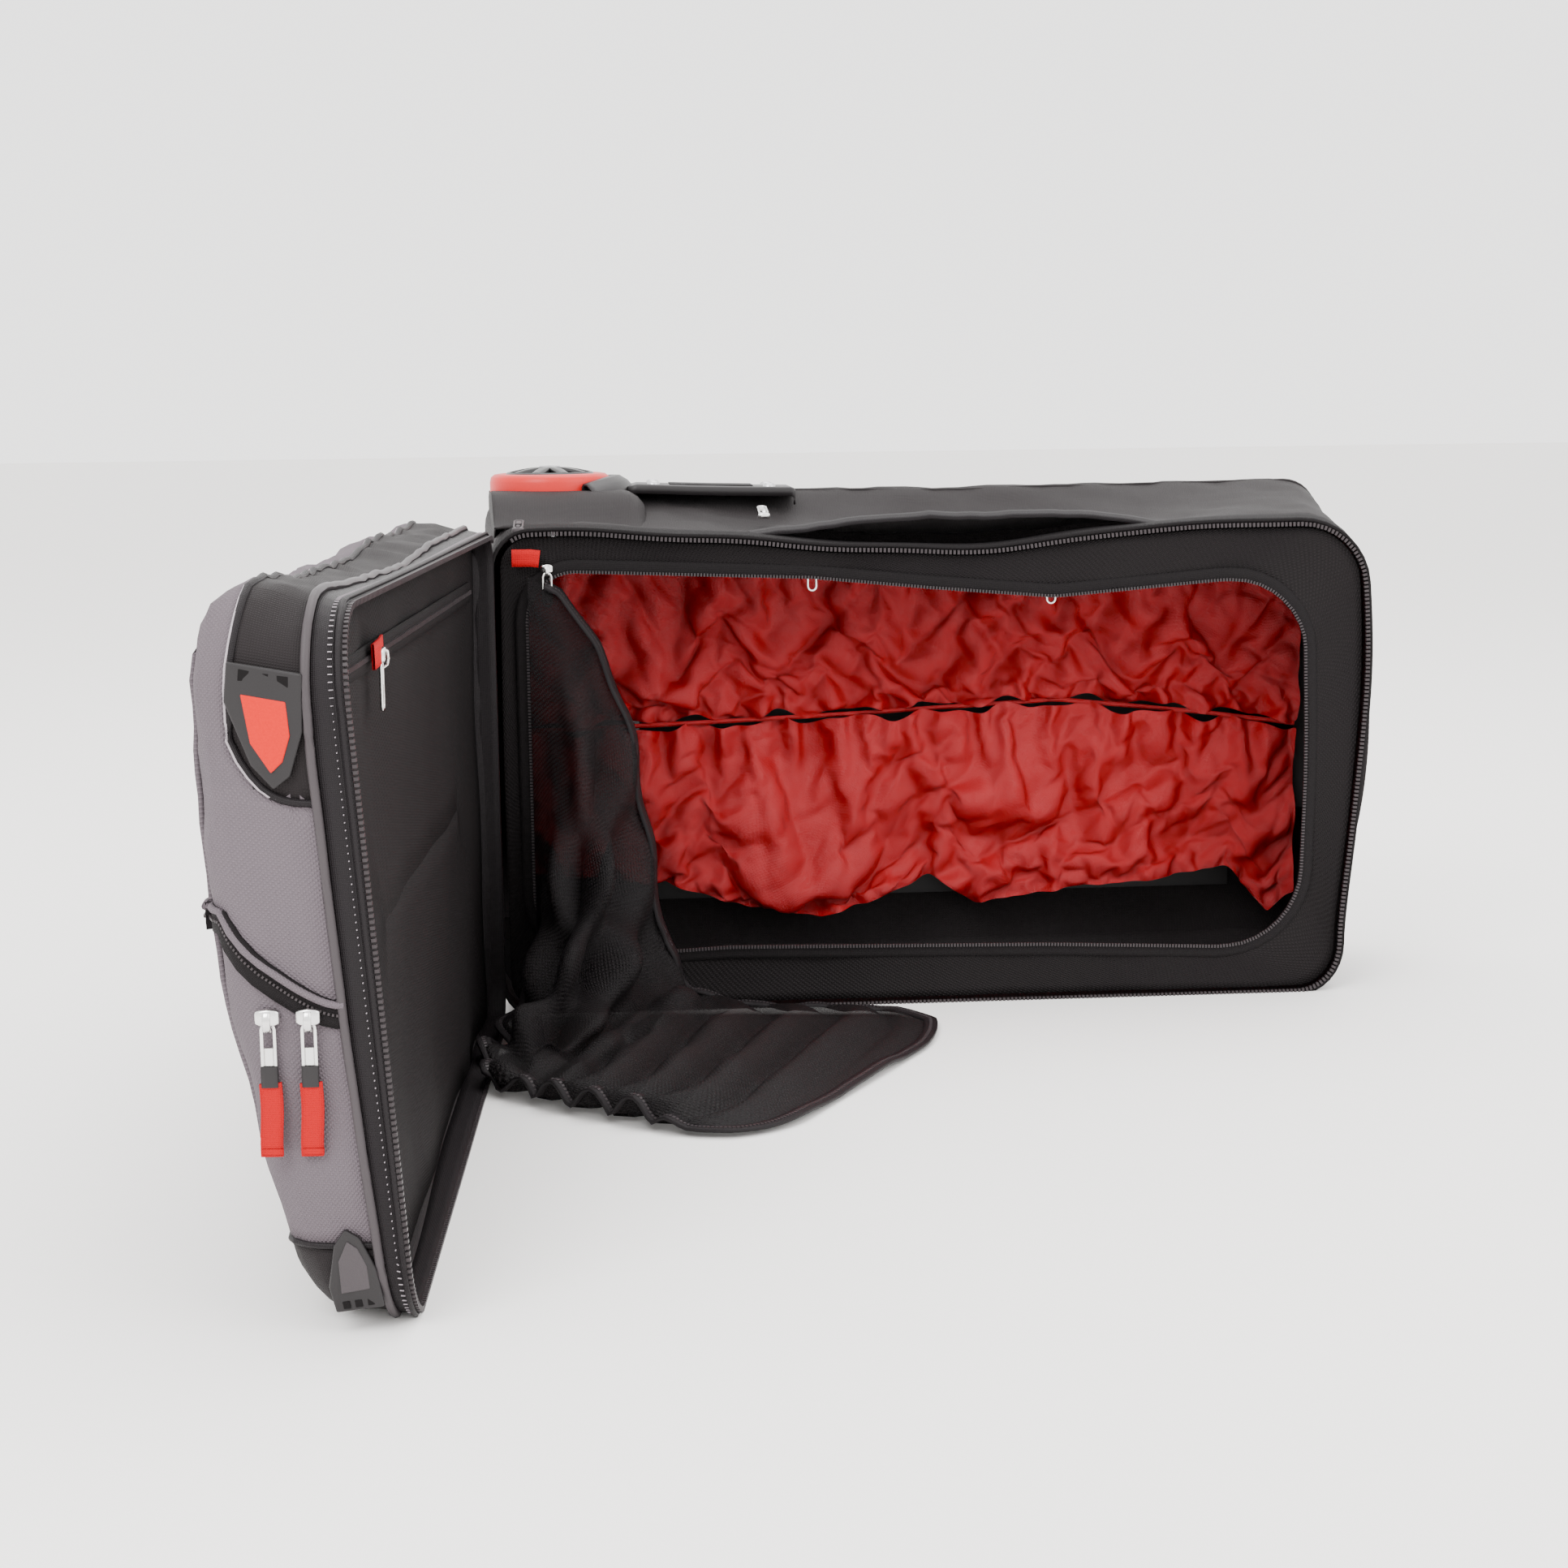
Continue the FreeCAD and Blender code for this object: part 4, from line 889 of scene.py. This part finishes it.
strap_loop("door_tab_strap", [(-343, -71.2, 381), (-338, -72.2, 381), (-328, -72.6, 381), (-321, -71.6,
           380)],
           14, 1.8, WEB, (0, -1, 0), replaces=["door_tab"])
tab_y = np.linspace(-12, 14, 8)
tab = np.stack([np.full(8, 4.0), tab_y, 400 + (tab_y + 70) / 6 + 1.6 * np.sin(np.linspace(0, 3.1, 8))], -1)
strap_loop("side_tab_strap", lift_lip(settle(tab)) + [0, 0, 4.2], 22, 2.2, WEB, (0, 0, 1),
           replaces=["side_pocket_tab"])
red_tab = np.array([(HALF - 190 - 14, LID_Y - 14 - 8, 360), (HALF - 190 + 12, LID_Y - 12 - 8, 360),
                    (HALF - 190 + 24, LID_Y - 14 - 8, 358)])
strap_loop("lid_mesh_tab", swung(red_tab, lean=0), 16, 1.8, WEB, swung_dir((0, 1, 0)), body="lid")
u = np.linspace(0, 1, 40)
arch_z = 97 + 251 * u
arch_x = 364.4 + 23 * np.sin(math.pi * u) ** 0.55
arch = np.stack([arch_x, np.zeros(40), arch_z], -1)
ribbon("head_strap", arch, 38, 3.4, NYLON, up=(1, 0, 0.01), replaces=["head_handle"])
wrap = arch[12:28] + [0.2, 0, 0]
tube("head_strap_grip", wrap, 17, BINDING, sides=20, flat=0.30, up=(1, 0, 0.01))
for side in (-1, 1):
    stitch = arch[2:-2] + [2.3, side * 16.0, 0]
    teeth("head_strap_stitch_%s" % ("left" if side < 0 else "right"), stitch, PIPING, (1, 0, 0), pitch=4.5,
          size_=(2.6, 0.7, 0.7))
ribbon("head_tab", [(363.6, 8, 202), (369, -6, 204), (369.5, -16, 204), (364.6, -22, 203)], 14, 1.6, WEB,
       up=(1, 0, 0))

# ---- wheels -------------------------------------------------------------------------------
WHEEL = (-313.0, 75.0)
TYRE_RING = [(38, 0), (48, 0.2), (51, 2), (52, 6), (52, 23), (51, 27), (48, 29.4), (44, 30), (40, 29.2),
             (38, 27.6)]
HUB_DISC = [(0.1, 25), (9, 25), (12, 24), (33, 22.5), (34.5, 28), (37.8, 29), (37.9, 4), (34, 2), (12, 1),
            (0.1, 1)]


def wheel(tag, z, outward):
    """Tyre and spoked hub; z is the inner face, outward +1 for the upper wheel."""
    body = "wheel_" + tag
    place_ = lambda prof: [(r, z + outward * h) for r, h in prof]
    spin("tyre_%s_tread" % tag, place_(TYRE_RING + TYRE_RING[:1]), WHEEL, TYRE, body=body, flip=outward < 0,
         replaces=["tyre_" + tag])
    # The hub disc under the black spokes is drawn in the lighter grey plastic: a painted highlight in the
    # slots between the spokes.
    spin("hub_%s_disc" % tag, place_(HUB_DISC), WHEEL, GREY_PLASTIC_AND_HIGHLIGHT, body=body, flip=outward > 0,
         replaces=["hub_" + tag])
    spin("hub_%s_rim" % tag, place_([(32.5, 28), (33.5, 30.8), (36.5, 31.2), (38.2, 29.6), (38.2, 27)]),
         WHEEL, HUB,
         body=body, flip=outward > 0)
    cap = [(0.1, 36.5), (6, 36.2), (9.5, 34.6), (11, 31.5), (11.5, 26)]
    spin("hub_%s_cap" % tag, place_(cap), WHEEL, HUB, body=body, flip=outward > 0)
    for k in range(9):
        a = 2 * math.pi * k / 9 + 0.2
        run = np.array([[WHEEL[0] + r * math.cos(a), WHEEL[1] + r * math.sin(a), z + outward * h]
                        for r, h in ((9, 32.4), (16, 32.0), (24, 30.8), (34, 28.6))])
        ribbon("hub_%s_spoke_%d" % (tag, k), run, 8.0, 5.0, HUB, up=(0, 0, outward), body=body)


wheel("upper", 415.0, 1)
wheel("lower", 37.6, -1)

# ---- lid corner guards --------------------------------------------------------------------
def on_lid_end(d, z, out):
    """A point on the lid's head end at a depth and height, lifted outward, with the lid closed."""
    P = puff(np.array([[HALF - 4 * d / LID_DEEP, LID_Y - d, z]]))[0]
    return P + [out, 0, 0]


def guard(name, outline, out, thick, mat, bevel=1.2, **more):
    """Moulded plate with the given (depth, height) outline, lying on the lid's head end."""
    n = len(outline)
    low = swung(np.array([on_lid_end(d, z, out) for d, z in outline]))
    high = swung(np.array([on_lid_end(d, z, out + thick) for d, z in outline]))
    faces = [list(range(n))[::-1], list(range(n, 2 * n))]
    faces += [[i, (i + 1) % n, n + (i + 1) % n, n + i] for i in range(n)]
    obj = piece(name, np.concatenate([low, high]), faces, mat, body="lid", smooth=False, **more)
    b = obj.modifiers.new("bevel", "BEVEL")
    b.width, b.segments = bevel * MM, 3
    return obj


def mirror(outline, z_mid):
    return [(d, 2 * z_mid - z) for d, z in outline][::-1]


PLATE = [(22, 366), (66, 372), (67, 352), (54, 318), (43, 305), (33, 312), (24, 336)]
INSET = [(32, 352), (57, 356), (53, 330), (43, 314), (36, 320), (31, 334)]
for tag, shape in (("upper", lambda o: o), ("lower", lambda o: mirror([(d, z * 0.72 + 84) for d, z in o],
                   182))):
    guard("guard_%s_plate" % tag, shape(PLATE), 0.2, 4.0, PLASTIC, replaces=["lid_bumper_" + tag])
    guard("guard_%s_inlay" % tag, shape(INSET), 3.6, 1.8, INLAY if tag == "upper" else GREY_PLASTIC_AND_HIGHLIGHT,
          bevel=0.8)
    # The slots are dark plates laid over the bumper: painted shade in place of the holes.
    for k, d in enumerate((33, 44, 55)):
        top = 364.5 + 0.14 * (d - 33)
        hole = [(d - 3.2, top), (d + 3.2, top + 0.8), (d + 3.2, top - 4.8), (d - 3.2, top - 5.6)]
        guard("guard_%s_slot_%d" % (tag, k), shape(hole), 3.6, 0.9, NYLON_SHADE, bevel=0.3)

# ---- fabric hinge between tray and lid ----------------------------------------------------
hz = np.linspace(10, 386, 60)
across = np.array([(-362.5, -22), (-362.0, -40), (-361.5, -56), (-363.5, -68), (-374, -73.5), (-392,
                  -74.2)])
fold = np.stack([np.stack([np.full(60, x), np.full(60, y), hz], -1) for x, y in across], 1)
fold[..., 0] += ripple(fold, 60, 0.8, 81)
fold[..., 1] += ripple(fold, 50, 0.8, 82)
hinge_cloth = grid("hinge_fold", fold, BINDING, thick=1.2, body=None)
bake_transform(hinge_cloth)
tube("hinge_bead", np.stack([np.full(60, -361.2), np.full(60, -64.0), hz], -1), 2.2, BINDING)

# ---- upper wheel housing: cloth-covered corner, fender and tongue --------------------------
def top_plane(x, y):
    return settle(np.stack([x, y, 400 + (y + 70) / 6 + 0 * x], -1))[..., 2]


ux = np.concatenate([[-369.4, -369.6, -369.6, -369.0, -367.0, -363.0], np.linspace(-357, -252, 16),
                     [-245, -238, -233, -231]])
drop_x_ = np.concatenate([[44, 26, 12, 5, 1.6, 0.3], np.zeros(16), [1.5, 6, 12, 20]])
uy = np.concatenate([np.linspace(-46, 98, 22), [104, 108, 110.5, 111.2, 111.2]])
drop_y_ = np.concatenate([np.zeros(22), [0.5, 2, 6, 16, 40]])
GX, GY = np.meshgrid(ux, uy, indexing="ij")
rise = ease(GY, -44, 22)
GZ = (top_plane(GX, GY) + 0.6) * (1 - rise) + 431.2 * rise - drop_x_[:, None] * ease(GY, -46,
                        0) - drop_y_[None, :]
GZ -= 1.5 * (1 - rise) * (drop_x_[:, None] > 10)
skin = np.stack([GX, GY, GZ], -1)
skin[..., 2] += ripple(skin, 60, 0.5, 91) * (drop_x_[:, None] < 1)
skin_x_in = np.clip(-357.5 - 12 * (GY + 70) / 180 + 1.5, -370, -350)
skin[..., 0] = np.maximum(skin[..., 0], skin_x_in)
cover_piece = grid("housing_upper_cover", skin, NYLON, thick=1.5, flip=False)
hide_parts("wheel_housing_upper")
a = np.radians(np.linspace(-58, 58, 30))
fender_prof = [(53.5, -14), (53.5, 8.5), (55.5, 10.5), (60, 10.2), (66, 6.5), (71, 1.0), (74, -6)]
fender = np.stack([np.stack([WHEEL[0] + r * np.cos(a), WHEEL[1] + r * np.sin(a), np.full(30, 430.5 + h)],
                  -1)
                   for r, h in fender_prof], 1)
fender[..., 2] -= (6 * (np.abs(a) / 1.0) ** 2.4)[:, None]
fender[..., 1] = np.minimum(fender[..., 1], 111)
grid("wheel_fender", fender, PLASTIC, thick=2.0, flip=False)
tx = np.array([-246, -238, -225, -190, -150, -112, -106, -103, -102, -102])
tz = np.array([433.5, 435.5, 435.0, 433.4, 432.2, 431.4, 431.3, 430.2, 428.5, 424.0])
ty = np.array([0.0, 0.6, 1.6, 3.4, 56.6, 58.4, 59.4, 60.0]) + 42
edge_drop = np.array([8, 1.6, 0.4, 0, 0, 0.4, 1.6, 8])
tongue = np.stack([np.stack([np.full(8, x), ty, z - edge_drop], -1) for x, z in zip(tx, tz)])
grid("wheel_tongue", tongue, PLASTIC, thick=1.5, flip=False)

# ---- handle and housings ------------------------------------------------------------------
for name in ("wheel_housing_lower", "handle_bezel", "handle_grip", "handle_button",
             "back_board"):
    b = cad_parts[name].modifiers.new("bevel", "BEVEL")
    b.width, b.segments, b.limit_method = (0.0022 if "housing" in name else 0.0012), 3, "ANGLE"
BOLT = [(0.1, 3.2), (3.4, 3.0), (5.2, 1.8), (5.6, 0)]
for k, (x, y) in enumerate([(-224, 52), (-224, 92), (-124, 52), (-124, 92)]):
    top = float(np.interp(x, tx, tz))
    spin("housing_bolt_%d" % k, [(r, top + h - 0.2) for r, h in BOLT], (x, y), STEEL, steps=20, flip=True)
for k, y in enumerate((54, 64, 72, 80, 90)):
    run = np.array([(-210, y, 434.6), (-175, y, 433.3), (-138, y, 432.4)])
    ribbon("tongue_rib_%d" % k, run, 2.2, 1.4, PLASTIC, up=(0, 0, 1))
grip_z = np.linspace(150, 280, 14)
grip_z = grip_z[np.abs(grip_z - 215) > 22]
blocks("grip_ribs", np.stack([np.full(len(grip_z), 393.6), np.full(len(grip_z), 92.0), grip_z], -1), (1,
       0, 0),
       (0, 1, 0), (0, 0, 1), (1.2, 15, 2.6), GREY_PLASTIC_AND_HIGHLIGHT, bevel=0.4, body="handle")
for k, (x, y) in enumerate([(180, 35), (180, 85), (300, 60)]):
    spin("rest_stud_%d" % k, [(0.1, 0.2), (9, 0.2), (11, 1.6), (12.5, 5)], (x, y), PLASTIC, steps=28)

# ---- camera, floor and light --------------------------------------------------------------
def look():
    az, el, roll = map(math.radians, (4.26, 8.89, -0.68))
    f = np.array([math.sin(az) * math.cos(el), math.cos(az) * math.cos(el), -math.sin(el)])
    r = unit(np.cross(f, [0, 0, 1.0]))
    u = np.cross(r, f)
    r, u = math.cos(roll) * r + math.sin(roll) * u, -math.sin(roll) * r + math.cos(roll) * u
    cam = bpy.data.cameras.new("camera")
    cam.lens, cam.sensor_width, cam.clip_end = 36 * 3069.2 / 1932, 36, 60
    obj = bpy.data.objects.new("camera", cam)
    bpy.context.scene.collection.objects.link(obj)
    m = np.eye(4)
    m[:3, 0], m[:3, 1], m[:3, 2], m[:3, 3] = r, u, -f, (-0.2753, -2.1123, 0.5101)
    obj.matrix_world = Matrix(m.tolist())
    bpy.context.scene.camera = obj


look()
floor_mat = material("studio_floor", "", (0.90, 0.885, 0.87), 0.75, speck=60, spread=0.012, relief=0.02,
                     direct=True)
bpy.ops.mesh.primitive_plane_add(size=40, location=(0, 0, -0.0004))
floor = bpy.context.object
floor.name = "floor"
floor.data.materials.append(floor_mat)
world = bpy.data.worlds.new("studio")
bpy.context.scene.world = world
world.use_nodes = True
world.node_tree.nodes["Background"].inputs["Color"].default_value = (1.0, 0.99, 0.98, 1)
world.node_tree.nodes["Background"].inputs["Strength"].default_value = 2.6


def light(name, place, target, size_, power):
    lamp = bpy.data.lights.new(name, "AREA")
    lamp.size, lamp.energy = size_, power
    obj = bpy.data.objects.new(name, lamp)
    bpy.context.scene.collection.objects.link(obj)
    obj.location = place
    d = unit(np.array(target) - np.array(place))
    z = -d
    x = unit(np.cross([0, 0, 1.0], z))
    m = np.eye(4)
    m[:3, 0], m[:3, 1], m[:3, 2], m[:3, 3] = x, np.cross(z, x), z, place
    obj.matrix_world = Matrix(m.tolist())


light("key", (-1.6, -2.4, 2.6), (0, -0.1, 0.1), 1.6, 90)
light("fill", (2.2, -1.8, 1.8), (0, 0, 0.2), 2.0, 40)
light("top", (0.1, 0.6, 3.0), (0, -0.1, 0.2), 2.4, 70)

for name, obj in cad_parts.items():
    if obj.hide_render:
        continue
    if name.startswith(("wheel_housing", "handle_bezel", "handle_grip", "lid_bumper", "back_board")):
        mat = PLASTIC
    elif name.startswith("tyre"):
        mat = TYRE
    elif name.startswith("hub"):
        mat = HUB
    elif name.startswith("axle"):
        mat = STEEL
    elif name in ("handle_tubes", "handle_stage"):
        mat = TUBE
    elif "tab" in name:
        mat = WEB
    elif "slider" in name or "pull" in name or "ring" in name:
        mat = NICKEL
    elif name == "handle_button":
        mat = GREY_PLASTIC_AND_HIGHLIGHT
    else:
        mat = NYLON
    obj.data.materials.clear()
    obj.data.materials.append(mat)
